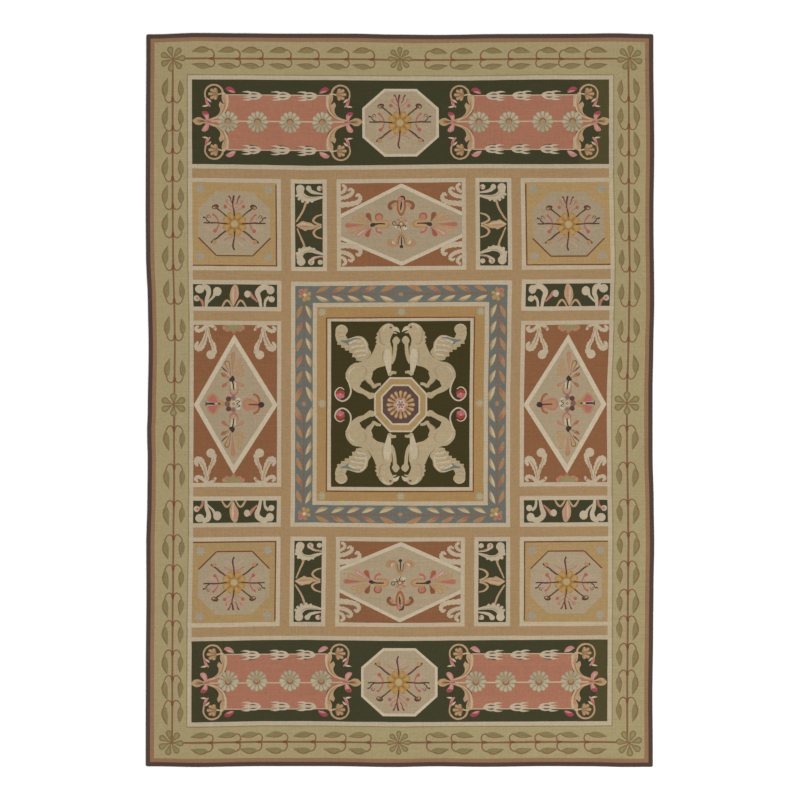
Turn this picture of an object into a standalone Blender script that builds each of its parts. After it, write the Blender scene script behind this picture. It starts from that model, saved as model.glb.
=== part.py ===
"""A nine by thirteen foot area rug: one flat woven wool cloth with a dark tape sewn round its edge.

Metres, +Z up. The rug lies on its back at z = 0, its length along Y and its width along X, with the
origin at the middle of its underside. Its four sides are as uneven as the real rug's.
"""

import bmesh
import bpy
from mathutils import Vector

# Driving sizes
RUG_WIDTH = 2.740
RUG_LENGTH = 3.962
CLOTH_THICKNESS = 0.005
TAPE_WIDTH = 0.023
TAPE_THICKNESS = 0.0056
CORNER_RADIUS = 0.009
PIECE_GAP = 0.0003

# How closely the uneven sides are followed
STATION_STEP = 0.075
CORNER_STEPS = 5

HALF_WIDTH = RUG_WIDTH / 2
HALF_LENGTH = RUG_LENGTH / 2

# Each side wanders in and out of a straight line. A row is (metres along the side from its middle,
# millimetres that the edge stands out there). A long side runs from the foot of the rug to its head,
# and an end runs from the left side to the right one.
LEFT_SIDE = (
    (-1.85, 6), (-1.49, 5), (-1.02, 2), (-0.78, 3), (-0.54, -3), (-0.30, -5), (-0.18, -1),
    (-0.06, -5), (0.29, -10), (0.53, -6), (0.77, 4), (1.00, 6), (1.48, 5), (1.84, 3),
)
RIGHT_SIDE = (
    (-1.85, -4), (-1.61, -6), (-1.25, -2), (-1.02, 0), (-0.78, 4), (-0.54, 1), (-0.30, -5),
    (0.05, -5), (0.29, -1), (0.53, 4), (1.00, 0), (1.36, 4), (1.84, -1),
)
HEAD_END = (
    (-1.34, -3), (-1.10, 5), (-0.86, 3), (-0.63, 1), (-0.27, 1), (-0.03, -4), (0.20, -6),
    (0.56, -1), (0.92, 0), (1.16, 3), (1.34, -2),
)
FOOT_END = (
    (-1.34, -1), (-1.10, 3), (-0.75, -2), (-0.39, -2), (-0.03, 3), (0.20, -1), (0.44, 2),
    (0.80, -2), (1.04, -1), (1.22, 3), (1.34, 2),
)

# The tape's cross-section, from its inner edge out and back: share of its width, share of its height.
# It is folded under at its outer edge, so that edge is round, and flat where it lies on the floor.
TAPE_SECTION = (
    (0.0, 0.0), (0.93, 0.0), (1.0, 0.25), (1.0, 0.62), (0.965, 0.86), (0.88, 0.97), (0.6, 1.0),
    (0.25, 0.97), (0.0, 0.89),
)

TAPE_BROWN = (0.083, 0.053, 0.040, 1.0)
CLOTH_TAN = (0.329, 0.206, 0.095, 1.0)
WOOL_ROUGHNESS = 0.9


def clear_scene():
    for old in list(bpy.data.objects):
        bpy.data.objects.remove(old)


def stands_out(side, along):
    """Metres that a side stands out of its straight line at this place, on a smooth curve."""
    if along <= side[0][0]:
        return side[0][1] / 1000
    for (start, low), (end, high) in zip(side, side[1:]):
        if along <= end:
            share = (along - start) / (end - start)
            eased = share * share * (3 - 2 * share)
            return (low + (high - low) * eased) / 1000
    return side[-1][1] / 1000


def left_x(y):
    return -HALF_WIDTH - stands_out(LEFT_SIDE, y)


def right_x(y):
    return HALF_WIDTH + stands_out(RIGHT_SIDE, y)


def head_y(x):
    return HALF_LENGTH + stands_out(HEAD_END, x)


def foot_y(x):
    return -HALF_LENGTH - stands_out(FOOT_END, x)


def stations(start, end):
    """Evenly spaced places from start to end, both included."""
    steps = max(1, round((end - start) / STATION_STEP))
    return [start + (end - start) * i / steps for i in range(steps + 1)]


def cloth_corner(edge_x, edge_y, inward_x, inward_y):
    """The corner of the cloth between a long side and an end, just inside the tape."""
    inset = TAPE_WIDTH + PIECE_GAP
    y = edge_y(edge_x(0.0)) + inward_y * inset
    x = edge_x(y) + inward_x * inset
    return x, edge_y(x) + inward_y * inset


def side_stations(edge_x, inward):
    """Places along a long side, from the cloth's corner at the foot to the one at the head."""
    foot = cloth_corner(edge_x, foot_y, inward, 1)
    head = cloth_corner(edge_x, head_y, inward, -1)
    return stations(foot[1], head[1])


def end_stations(edge_y, inward):
    """Places along an end, from the cloth's corner at the left to the one at the right."""
    left = cloth_corner(left_x, edge_y, 1, inward)
    right = cloth_corner(right_x, edge_y, -1, inward)
    return stations(left[0], right[0])


def corner_pull(to_end):
    """How far the round corner has drawn the outer edge in, this near the tape's end."""
    if to_end >= CORNER_RADIUS:
        return 0.0
    inside = CORNER_RADIUS - to_end
    return CORNER_RADIUS - (CORNER_RADIUS**2 - inside**2) ** 0.5


def wool(name, colour):
    material = bpy.data.materials.new(name)
    material.use_nodes = True
    shader = material.node_tree.nodes["Principled BSDF"]
    shader.inputs["Base Color"].default_value = colour
    shader.inputs["Roughness"].default_value = WOOL_ROUGHNESS
    shader.inputs["Metallic"].default_value = 0.0
    material.diffuse_color = colour
    return material


def add_object(name, work, material):
    bmesh.ops.recalc_face_normals(work, faces=work.faces)
    mesh = bpy.data.meshes.new(name)
    work.to_mesh(mesh)
    work.free()
    mesh.materials.append(material)
    piece = bpy.data.objects.new(name, mesh)
    bpy.context.scene.collection.objects.link(piece)
    return piece


def cloth_outline():
    """The cloth's edge, anticlockwise from its foot's left corner, just inside the tape."""
    inset = TAPE_WIDTH + PIECE_GAP
    foot = [(x, foot_y(x) + inset) for x in end_stations(foot_y, 1)]
    right = [(right_x(y) - inset, y) for y in side_stations(right_x, -1)]
    head = [(x, head_y(x) - inset) for x in end_stations(head_y, -1)]
    left = [(left_x(y) + inset, y) for y in side_stations(left_x, 1)]
    return foot + right[1:-1] + head[::-1] + left[-2:0:-1]


def woven_cloth(material):
    """One flat slab of woven wool, extruded up from its outline."""
    work = bmesh.new()
    loop = [work.verts.new((x, y, 0.0)) for x, y in cloth_outline()]
    floor_face = work.faces.new(loop)
    lifted = bmesh.ops.extrude_face_region(work, geom=[floor_face], use_keep_orig=True)
    top = [v for v in lifted["geom"] if isinstance(v, bmesh.types.BMVert)]
    bmesh.ops.translate(work, verts=top, vec=Vector((0, 0, CLOTH_THICKNESS)))
    return add_object("woven_cloth", work, material)


def tape_strip(name, rails, material):
    """A strip of tape between two rails: rails is a list of (inner point, outer point) pairs."""
    work = bmesh.new()
    rings = []
    for inner, outer in rails:
        ring = []
        for across, up in TAPE_SECTION:
            x = inner[0] + (outer[0] - inner[0]) * across
            y = inner[1] + (outer[1] - inner[1]) * across
            ring.append(work.verts.new((x, y, TAPE_THICKNESS * up)))
        rings.append(ring)
    count = len(TAPE_SECTION)
    for ring, following in zip(rings, rings[1:]):
        for i in range(count):
            j = (i + 1) % count
            work.faces.new((ring[i], ring[j], following[j], following[i]))
    work.faces.new(rings[0])
    work.faces.new(reversed(rings[-1]))
    return add_object(name, work, material)


def side_rails(edge_x, inward):
    """Rails of a long side's tape, which runs past both ends and has the round corners."""
    middle_x = edge_x(0.0) + inward * TAPE_WIDTH / 2
    start = foot_y(middle_x)
    end = head_y(middle_x)
    near = [CORNER_RADIUS * i / CORNER_STEPS for i in range(CORNER_STEPS + 1)]
    places = [start + n for n in near] + side_stations(edge_x, inward) + [end - n for n in reversed(near)]
    rails = []
    for y in places:
        outer_x = edge_x(y) + inward * corner_pull(min(y - start, end - y))
        rails.append(((edge_x(y) + inward * TAPE_WIDTH, y), (outer_x, y)))
    return rails


def end_rails(edge_y, inward):
    """Rails of an end's tape, which butts against the two long tapes."""
    places = end_stations(edge_y, inward)
    return [((x, edge_y(x) + inward * TAPE_WIDTH), (x, edge_y(x))) for x in places]


def centre_on_origin(pieces):
    """Moves every mesh so that the origin is at the middle of the whole rug's underside."""
    points = [v.co for piece in pieces for v in piece.data.vertices]
    middle_x = (min(p.x for p in points) + max(p.x for p in points)) / 2
    middle_y = (min(p.y for p in points) + max(p.y for p in points)) / 2
    for piece in pieces:
        for vertex in piece.data.vertices:
            vertex.co.x -= middle_x
            vertex.co.y -= middle_y


def build():
    clear_scene()
    cloth_wool = wool("cloth_wool", CLOTH_TAN)
    tape_wool = wool("tape_wool", TAPE_BROWN)
    pieces = [
        woven_cloth(cloth_wool),
        tape_strip("tape_left", side_rails(left_x, 1), tape_wool),
        tape_strip("tape_right", side_rails(right_x, -1), tape_wool),
        tape_strip("tape_head", end_rails(head_y, -1), tape_wool),
        tape_strip("tape_foot", end_rails(foot_y, 1), tape_wool),
    ]
    centre_on_origin(pieces)


build()
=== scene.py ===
"""The looks of a nine by thirteen foot area rug: its woven pattern, its wool and the tape sewn round it.

Metres, +Z up. The rug lies face up, its head towards +Y, and the camera looks straight down at it.
"""

import math
import random

import bmesh
import bpy
import numpy as np
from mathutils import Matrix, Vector, noise
from mathutils.geometry import delaunay_2d_cdt


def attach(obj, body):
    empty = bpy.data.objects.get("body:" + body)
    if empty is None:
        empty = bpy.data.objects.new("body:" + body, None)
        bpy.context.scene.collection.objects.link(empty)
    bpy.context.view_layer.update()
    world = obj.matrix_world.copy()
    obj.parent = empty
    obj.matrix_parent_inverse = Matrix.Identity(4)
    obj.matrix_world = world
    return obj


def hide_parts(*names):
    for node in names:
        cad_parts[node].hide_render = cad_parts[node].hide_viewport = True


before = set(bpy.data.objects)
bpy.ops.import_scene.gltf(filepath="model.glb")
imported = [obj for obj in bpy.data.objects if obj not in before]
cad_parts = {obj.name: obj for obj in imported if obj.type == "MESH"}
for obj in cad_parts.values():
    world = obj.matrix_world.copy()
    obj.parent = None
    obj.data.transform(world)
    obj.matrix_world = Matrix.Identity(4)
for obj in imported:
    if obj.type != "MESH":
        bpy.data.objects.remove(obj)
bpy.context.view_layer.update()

# The camera looks straight down at the rug's middle from high up, so the picture is 4.32 m wide at the
# rug's face. A long lens keeps its edges from spreading.
PICTURE_WIDTH = 4.3256
CAMERA_HEIGHT = 14.0
SENSOR_WIDTH = 0.036
RUG_FACE = 0.005
CAMERA_SHIFT_Y = -0.0001

camera_data = bpy.data.cameras.new("camera")
camera_data.sensor_width = SENSOR_WIDTH * 1000
camera_data.lens = SENSOR_WIDTH * 1000 * CAMERA_HEIGHT / PICTURE_WIDTH
camera_data.clip_end = 100.0
camera = bpy.data.objects.new("camera", camera_data)
camera.location = (0.0, 0.0, CAMERA_HEIGHT + RUG_FACE)
bpy.context.scene.collection.objects.link(camera)
bpy.context.scene.camera = camera


# The floor is plain and pale, and the light is soft: an even pale sky with one wide lamp high above the
# rug's foot on its right, which brings out the ribs of the wool.
FLOOR_SIZE = 60.0
FLOOR_PALE = (0.97, 0.97, 0.965, 1.0)
SKY_PALE = (1.0, 1.0, 1.0, 1.0)
SKY_STRENGTH = 0.95
LAMP_PLACE = (3.5, -3.0, 8.0)
LAMP_SIZE = 5.0
LAMP_POWER = 220.0

floor_mesh = bpy.data.meshes.new("floor")
floor_work = bmesh.new()
bmesh.ops.create_grid(floor_work, x_segments=1, y_segments=1, size=FLOOR_SIZE / 2)
floor_work.to_mesh(floor_mesh)
floor_work.free()
floor_paint = bpy.data.materials.new("floor_paint")
floor_paint.use_nodes = True
floor_shader = floor_paint.node_tree.nodes["Principled BSDF"]
floor_shader.inputs["Base Color"].default_value = FLOOR_PALE
floor_shader.inputs["Roughness"].default_value = 1.0
floor_shader.inputs["Specular IOR Level"].default_value = 0.0
floor_mesh.materials.append(floor_paint)
floor = bpy.data.objects.new("floor", floor_mesh)
bpy.context.scene.collection.objects.link(floor)

world = bpy.data.worlds.new("sky")
world.use_nodes = True
world.node_tree.nodes["Background"].inputs["Color"].default_value = SKY_PALE
world.node_tree.nodes["Background"].inputs["Strength"].default_value = SKY_STRENGTH
bpy.context.scene.world = world
lamp_data = bpy.data.lights.new("lamp", "AREA")
lamp_data.shape = "DISK"
lamp_data.size = LAMP_SIZE
lamp_data.energy = LAMP_POWER
lamp = bpy.data.objects.new("lamp", lamp_data)
lamp.location = LAMP_PLACE
lamp.rotation_euler = (-Vector(LAMP_PLACE)).to_track_quat("-Z", "Y").to_euler()
bpy.context.scene.collection.objects.link(lamp)
bpy.context.scene.view_settings.view_transform = "Standard"


# The woven cloth. One flat wool cloth carries the whole pattern: every colour is a yarn woven in, none
# is laid on top, so its face is cut up into the areas of each yarn and its back shows the same areas.
# The pattern is worked out below in the order in which a shape covers what is under it.
YARNS = {
    "lattice tan": "9d805b", "guard brown": "8f6c4e", "celadon": "a1936b", "olive line": "86784f",
    "leaf olive": "7f764d", "leaf brown": "7d6444", "stem rust": "7f5a41", "knot rust": "744733",
    "ivory": "b3a48a", "cream": "bbad93", "dark green": "3b3a24", "pink": "a16c55", "beige": "a08f73",
    "gold": "a28659", "fine red": "6f432a", "star grey": "998e7c", "scroll tan": "ad8e6c",
    "scroll light": "b6a283", "scroll brown": "94704f", "bud tan": "ab8c66", "crimson": "98404c",
    "petal pink": "b97a73", "daisy pale": "a19c80", "daisy grey": "938c70", "daisy eye": "a0805c",
    "eye brown": "83573f", "flame ivory": "b5a68d", "slot rust": "8d6457", "stalk dark": "4d3632",
    "stalk brown": "78403a", "twig pink": "ab6f60", "berry red": "a55b4f", "flower gold": "a6834c",
    "flower light": "ad8f5c", "flower brown": "936c3d", "heart pale": "aa9a70", "bud brown": "7b5138",
    "rust": "84583a", "palmette pink": "aa7160", "palmette rose": "a8625a", "palmette tan": "a47f58",
        "palmette rust": "93573b",
    "black brown": "40322f", "blue": "666a63", "laurel rust": "a0764f", "laurel red": "9a604b",
    "laurel gold": "a3875b", "laurel cream": "b8a682", "plum": "59433c", "griffin": "a99877",
    "griffin light": "b8aa8e", "griffin shade": "998568", "feather blue": "67706e", "rose red": "993a2e",
    "rose pink": "b0606a", "eye red": "74404a", "blush": "b59583", "field green": "3c3519",
    "leaf light": "8d8057", "leaf streak": "8f7350", "daisy light": "a9a68a", "flame slot": "5b4638",
        "maroon": "603a33", "mauve": "7d6560", "bud mauve": "7b5a4d", "star pale": "a09678",
    "green faded": "413e24", "green yellow": "494427", "band gold": "a07f50", "thread": "6d5a4b",
}

# One square of the weaver's drawing. Panels have their sizes in metres, and the ornaments in them are
# drawn in these squares.
SQUARE = 0.0054

weave_shapes = []


class Spot:
    """A place on the drawing with its own scale and turn, where an ornament is worked."""

    def __init__(self, x, y, size_x=SQUARE, size_y=SQUARE, turn=0.0):
        self.x, self.y = x, y
        cos, sin = math.cos(turn), math.sin(turn)
        self.right = (size_x * cos, size_x * sin)
        self.up = (-size_y * sin, size_y * cos)

    def metres(self, point):
        across, along = point
        return (
            self.x + across * self.right[0] + along * self.up[0],
            self.y + across * self.right[1] + along * self.up[1],
        )

    def at(self, across, along, size=1.0, turn=0.0, flip=1.0, flip_up=1.0):
        """A spot inside this one, turned and flipped in this one's own squares."""
        inner = Spot(0.0, 0.0)
        inner.x, inner.y = self.metres((across, along))
        cos, sin = math.cos(turn), math.sin(turn)
        inner.right = tuple((cos * r + sin * u) * size * flip for r, u in zip(self.right, self.up))
        inner.up = tuple((cos * u - sin * r) * size * flip_up for r, u in zip(self.right, self.up))
        return inner


def weave(spot, yarn, outline):
    """Lays one closed area of a yarn over what is there."""
    weave_shapes.append((yarn, [spot.metres(point) for point in outline]))


def smooth_line(points, steps=4):
    """A smooth line through the points."""
    if len(points) < 3:
        return list(points)
    line = []
    for i in range(len(points) - 1):
        a, b = points[i], points[i + 1]
        before = points[i - 1] if i else (2 * a[0] - b[0], 2 * a[1] - b[1])
        after = points[i + 2] if i + 2 < len(points) else (2 * b[0] - a[0], 2 * b[1] - a[1])
        for k in range(steps):
            t = k / steps
            line.append(tuple(
                0.5 * (2 * p1 + (p2 - p0) * t + (2 * p0 - 5 * p1 + 4 * p2 - p3) * t * t
                       + (3 * p1 - p0 - 3 * p2 + p3) * t**3)
                for p0, p1, p2, p3 in zip(before, a, b, after)
            ))
    line.append(points[-1])
    return line


def ribbon(points, widths, steps=4, frill=0.0):
    """The outline of a band along a smooth line, with its width given along it and perhaps a toothed edge."""
    line = smooth_line(points, steps)
    left, right = [], []
    for i, (x, y) in enumerate(line):
        x0, y0 = line[max(i - 1, 0)]
        x1, y1 = line[min(i + 1, len(line) - 1)]
        length = math.hypot(x1 - x0, y1 - y0) or 1.0
        place = i / (len(line) - 1) * (len(widths) - 1)
        k = min(int(place), len(widths) - 2)
        half = (widths[k] + (widths[k + 1] - widths[k]) * (place - k)) / 2
        half += frill / 2 if i % 2 else -frill / 2
        nx, ny = -(y1 - y0) / length * half, (x1 - x0) / length * half
        left.append((x + nx, y + ny))
        right.append((x - nx, y - ny))
    return left + right[::-1]


def disc(x, y, radius, tall=None, turn=0.0, sides=12):
    """A round or oval area."""
    tall = tall or radius
    ring = []
    for k in range(sides):
        angle = 2 * math.pi * (k + 0.5) / sides
        dx, dy = radius * math.cos(angle), tall * math.sin(angle)
        ring.append((x + dx * math.cos(turn) - dy * math.sin(turn),
            y + dx * math.sin(turn) + dy * math.cos(turn)))
    return ring


def leaf(base, tip, width, belly=0.5, bend=0.0, steps=6):
    """A pointed leaf from base to tip, widest at the belly, bent sideways by bend squares."""
    dx, dy = tip[0] - base[0], tip[1] - base[1]
    length = math.hypot(dx, dy)
    nx, ny = -dy / length, dx / length
    left, right = [], []
    power = math.log(0.5) / math.log(belly)
    for k in range(steps + 1):
        t = k / steps
        swell = math.sin(math.pi * t**power)
        half = width / 2 * swell
        off = bend * math.sin(math.pi * t)
        cx, cy = base[0] + dx * t + nx * off, base[1] + dy * t + ny * off
        left.append((cx + nx * half, cy + ny * half))
        if 0 < k < steps or half > 0.05:
            right.append((cx - nx * half, cy - ny * half))
    return left + right[::-1]


def petal(base, tip, width, steps=5):
    """A petal with a round end."""
    dx, dy = tip[0] - base[0], tip[1] - base[1]
    length = math.hypot(dx, dy)
    ux, uy = dx / length, dy / length
    radius = width / 2
    cx, cy = tip[0] - ux * radius, tip[1] - uy * radius
    points = [base]
    for k in range(steps + 1):
        angle = -math.pi * 0.55 + math.pi * 1.1 * k / steps
        cos, sin = math.cos(angle) * radius, math.sin(angle) * radius
        points.append((cx + ux * cos - uy * sin, cy + uy * cos + ux * sin))
    return points


def blob(points, steps=3):
    """A closed smooth outline through the points."""
    ring = [points[-1], *points, points[0], points[1]]
    return smooth_line(ring, steps)[steps:-2 * steps]


def polar(radius, degrees, x=0.0, y=0.0):
    angle = math.radians(degrees)
    return x + radius * math.cos(angle), y + radius * math.sin(angle)


# Straight lines of the drawing, in metres from the rug's middle, and how far the weave has wandered
# from them at a few places. A woven pattern is never quite square.
CLOTH_HALF_WIDTH = 1.347
CLOTH_HALF_LENGTH = 1.958
FIELD_LEFT, FIELD_RIGHT = -1.120, 1.129
FIELD_FOOT, FIELD_HEAD = -1.739, 1.731
WANDER_ACROSS = (-1.10, -0.73, -0.49, 0.0, 0.38, 0.70, 1.10)
WANDER_ALONG = (1.73, 1.24, 0.70, 0.43, -0.03, -0.47, -0.72, -1.25, -1.74)
# Millimetres to the right, a row for each place along the rug, from head to foot
WANDER_RIGHT = (
    (-5, -4, -3, -1, 0, 0, 1),
    (-4, -2, 0, 1, 2, 1, 1),
    (-1, 2, 2, 3, 5, 8, 10),
    (4, 1, 1, 1, 2, 3, 3),
    (4, 1, 1, -1, -3, -4, -11),
    (2, 0, 0, -2, -4, -5, -8),
    (1, -2, -3, -2, -3, -4, -4),
    (-7, -7, -8, -6, -5, -5, -6),
    (-8, -8, -8, -7, -7, -7, -8),
)
# Millimetres towards the head
WANDER_UP = (
    (3, 1, -1, -4, -4, 2, 2),
    (3, -2, -7, -2, 3, 2, 3),
    (1, -2, -5, -1, 3, 3, 6),
    (0, -2, -5, -2, 0, -1, 3),
    (-1, -1, -2, -2, -1, 0, 3),
    (-2, -1, 0, -3, -2, 1, 3),
    (-3, 1, 2, -3, -1, 0, 3),
    (-5, 2, 3, -3, 1, 3, 5),
    (-5, 2, 2, -4, -1, 0, 2),
)


def between(places, value):
    """The step of a rising or falling list of places that holds the value, and how far along it is."""
    rising = places[-1] > places[0]
    for k in range(len(places) - 1):
        low, high = (places[k], places[k + 1]) if rising else (places[k + 1], places[k])
        if value <= high and rising or value >= low and not rising:
            share = (value - places[k]) / (places[k + 1] - places[k])
            return k, min(max(share, 0.0), 1.0)
    return len(places) - 2, 1.0


def wander(table, x, y):
    """Metres that the weave has wandered at a place, read from one of the two tables."""
    i, across = between(WANDER_ACROSS, x)
    j, along = between(WANDER_ALONG, y)
    along = along * along * (3 - 2 * along)
    upper = table[j][i] + (table[j][i + 1] - table[j][i]) * across
    lower = table[j + 1][i] + (table[j + 1][i + 1] - table[j + 1][i]) * across
    return (upper + (lower - upper) * along) / 1000


# The cloth's own uneven edge comes from the frame, one line for each side.
edge_points = {(round(v.co.x, 5), round(v.co.y, 5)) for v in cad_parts["woven_cloth"].data.vertices}
SIDE_REACH = 0.022
LEFT_EDGE = sorted((y, x) for x, y in edge_points if x < -CLOTH_HALF_WIDTH + SIDE_REACH)
RIGHT_EDGE = sorted((y, x) for x, y in edge_points if x > CLOTH_HALF_WIDTH - SIDE_REACH)
FOOT_EDGE = sorted((x, y) for x, y in edge_points if y < -CLOTH_HALF_LENGTH + SIDE_REACH)
HEAD_EDGE = sorted((x, y) for x, y in edge_points if y > CLOTH_HALF_LENGTH - SIDE_REACH)


def edge_at(edge, place):
    for (a, low), (b, high) in zip(edge, edge[1:]):
        if place <= b:
            share = min(max((place - a) / (b - a), 0.0), 1.0)
            return low + (high - low) * share
    return edge[-1][1]


# Each outline also strays a little from one knot to the next.
WOBBLE = 0.0013
WOBBLE_SCALE = 75.0


def settle(point):
    """Where a point of the straight drawing lies on the uneven rug."""
    x, y = point
    held_x = min(max(x, FIELD_LEFT), FIELD_RIGHT)
    held_y = min(max(y, FIELD_FOOT), FIELD_HEAD)
    in_x = x + wander(WANDER_RIGHT, held_x, held_y)
    in_y = y + wander(WANDER_UP, held_x, held_y)
    if x < FIELD_LEFT:
        share = (FIELD_LEFT - x) / (FIELD_LEFT + CLOTH_HALF_WIDTH)
        in_x += (edge_at(LEFT_EDGE, y) + CLOTH_HALF_WIDTH - (in_x - x)) * share
    if x > FIELD_RIGHT:
        share = (x - FIELD_RIGHT) / (CLOTH_HALF_WIDTH - FIELD_RIGHT)
        in_x += (edge_at(RIGHT_EDGE, y) - CLOTH_HALF_WIDTH - (in_x - x)) * share
    if y < FIELD_FOOT:
        share = (FIELD_FOOT - y) / (FIELD_FOOT + CLOTH_HALF_LENGTH)
        in_y += (edge_at(FOOT_EDGE, x) + CLOTH_HALF_LENGTH - (in_y - y)) * share
    if y > FIELD_HEAD:
        share = (y - FIELD_HEAD) / (CLOTH_HALF_LENGTH - FIELD_HEAD)
        in_y += (edge_at(HEAD_EDGE, x) - CLOTH_HALF_LENGTH - (in_y - y)) * share
    wobble = noise.noise_vector(Vector((x, y, 0.0)) * WOBBLE_SCALE) * WOBBLE
    inside = min(1.0, (CLOTH_HALF_WIDTH - abs(x)) / 0.02, (CLOTH_HALF_LENGTH - abs(y)) / 0.02)
    return in_x + wobble.x * max(inside, 0.0), in_y + wobble.y * max(inside, 0.0)


RUG = Spot(0.0, 0.0, 1.0, 1.0)
BAND_STEP = 0.06


def straight(start, end):
    """Points along a straight line of the drawing, close enough to follow the wandering weave."""
    length = math.hypot(end[0] - start[0], end[1] - start[1])
    steps = max(1, math.ceil(length / BAND_STEP))
    return [
        (start[0] + (end[0] - start[0]) * k / steps, start[1] + (end[1] - start[1]) * k / steps)
        for k in range(steps)
    ]


def block(left, right, foot, head, yarn):
    """A straight-sided area, given in metres from the rug's middle."""
    corners = [(left, foot), (right, foot), (right, head), (left, head)]
    outline = []
    for start, end in zip(corners, corners[1:] + corners[:1]):
        outline += straight(start, end)
    weave(RUG, yarn, outline)


def line(start, end, width, yarn):
    """A thin straight line of yarn, given in metres."""
    dx, dy = end[0] - start[0], end[1] - start[1]
    length = math.hypot(dx, dy)
    nx, ny = -dy / length * width / 2, dx / length * width / 2
    there = straight(start, end) + [end]
    weave(RUG, yarn, [(x + nx, y + ny) for x, y in there] + [(x - nx, y - ny) for x, y in reversed(there)])


# The borders: a brown guard against the tape, the wide celadon border, a thin olive line and the ivory
# frame round the field, each woven inside the one before.
GUARD_WIDTH = 0.0215
BORDER_FRAME = 0.0215
OLIVE_LINE = 0.0065
block(-CLOTH_HALF_WIDTH, CLOTH_HALF_WIDTH, -CLOTH_HALF_LENGTH, CLOTH_HALF_LENGTH, "guard brown")
block(
    -CLOTH_HALF_WIDTH + GUARD_WIDTH, CLOTH_HALF_WIDTH - GUARD_WIDTH,
    -CLOTH_HALF_LENGTH + GUARD_WIDTH, CLOTH_HALF_LENGTH - GUARD_WIDTH, "celadon",
)
for inset, yarn in ((BORDER_FRAME + OLIVE_LINE, "olive line"), (BORDER_FRAME, "ivory"), (0.0,
    "lattice tan")):
    block(FIELD_LEFT - inset, FIELD_RIGHT + inset, FIELD_FOOT - inset, FIELD_HEAD + inset, yarn)

# The vine in the border: one straight stem down the middle of each side, with pairs of curled leaves
# that point away from the flower in the side's middle, and a flower where the stems meet.
STEM_LEFT, STEM_RIGHT = -1.2252, 1.2350
STEM_HEAD, STEM_FOOT = 1.8440, -1.8500
STEM_WIDTH = 0.0105
LEFT_FLOWER, RIGHT_FLOWER = -0.024, -0.020
# Where the sprays leave the stems: from the left corner to the middle, and from head to foot
HEAD_SPRAYS = (-1.006, -0.866, -0.742, -0.591, -0.441, -0.281, -0.143)
FOOT_SPRAYS = (-1.011, -0.862, -0.745, -0.607, -0.455, -0.292, -0.157)
LEFT_SPRAYS = (
    1.617, 1.463, 1.341, 1.190, 1.039, 0.887, 0.712, 0.530, 0.333, 0.106,
    -0.151, -0.356, -0.554, -0.738, -0.900, -1.051, -1.200, -1.359, -1.497, -1.632,
)
RIGHT_SPRAYS = (
    1.620, 1.471, 1.328, 1.177, 1.020, 0.866, 0.698, 0.514, 0.322, 0.122,
    -0.151, -0.351, -0.552, -0.727, -0.886, -1.040, -1.184, -1.332, -1.476, -1.622,
)


def veined_leaf(spot, base, tip, width, bend, olive_side):
    """A brown leaf with its lit half in olive, to one side of the line from base to tip."""
    weave(spot, "leaf brown", leaf(base, tip, width, belly=0.42, bend=bend))
    weave(spot, "leaf olive", leaf(base, tip, width * 0.52, belly=0.45,
        bend=bend + olive_side * width * 0.2))
    along = (tip[0] - base[0], tip[1] - base[1])
    start = (base[0] + along[0] * 0.14, base[1] + along[1] * 0.14)
    end = (base[0] + along[0] * 0.78, base[1] + along[1] * 0.78)
    weave(spot, "leaf streak", leaf(start, end, width * 0.2, bend=bend * 0.8 - olive_side * width * 0.22,
        steps=4))


def side_spray(spot):
    """A pair of leaves that point up the stem, on stalks that curl under them."""
    weave(spot, "stem rust", ribbon([(0, 1.0), (-2.6, -2.0), (-5.8, -1.4), (-8.0, 2.2), (-9.4, 7)], [1.7,
        1.3, 1.2, 1.2, 0.8]))
    weave(spot, "stem rust", ribbon([(0, 1.0), (3.2, -2.2), (6.6, -0.8), (8.6, 3.0), (9.2, 7)], [1.7, 1.3,
        1.2, 1.2, 0.8]))
    veined_leaf(spot, (-8.0, 2.6), (-4.9, 23.0), 6.6, 1.3, -1)
    veined_leaf(spot, (8.4, 3.2), (7.4, 21.0), 6.2, -0.3, -1)
    weave(spot, "knot rust", blob([(0, -1.8), (-1.3, 0.6), (-1.1, 3.0), (0, 4.4), (1.2, 3.0), (1.4, 0.4)]))


def end_spray(spot):
    """A pair of leaves that point back along the stem, on stalks that bend over."""
    weave(spot, "stem rust", ribbon([(0.2, 0), (1.0, 4.6), (-1.2, 8.2), (-5.6, 9.8)], [1.9, 1.4, 1.4, 1.0]))
    weave(spot, "stem rust", ribbon([(0, 0), (1.6, -4.2), (-0.4, -7.8), (-5.0, -8.6)], [1.7, 1.3, 1.3,
        1.0]))
    veined_leaf(spot, (-2.8, 8.6), (-21.5, 6.6), 6.6, -1.3, 1)
    veined_leaf(spot, (-2.4, -7.6), (-21.8, -5.6), 6.2, 0.6, 1)
    weave(spot, "knot rust", blob([(1.6, 0), (-0.4, 1.3), (-2.8, 1.1), (-5.0, 0), (-2.8, -1.2), (-0.4,
        -1.3)]))


def vine_flower(spot, petals, width=5.6):
    """A flower seen from above. Each of its petals is (the way it points, how far it reaches)."""
    for angle, reach in petals:
        weave(spot, "leaf brown", petal(polar(0.6, angle), polar(reach, angle), width))
    for angle, reach in petals:
        weave(spot, "leaf olive", petal(polar(3.2, angle), polar(reach - 1.0, angle), width - 1.9))
        weave(spot, "leaf light", petal(polar(5.4, angle), polar(reach - 1.6, angle), width - 3.4, steps=3))
    weave(spot, "stem rust", disc(0, 0, 1.6, sides=8))


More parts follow.
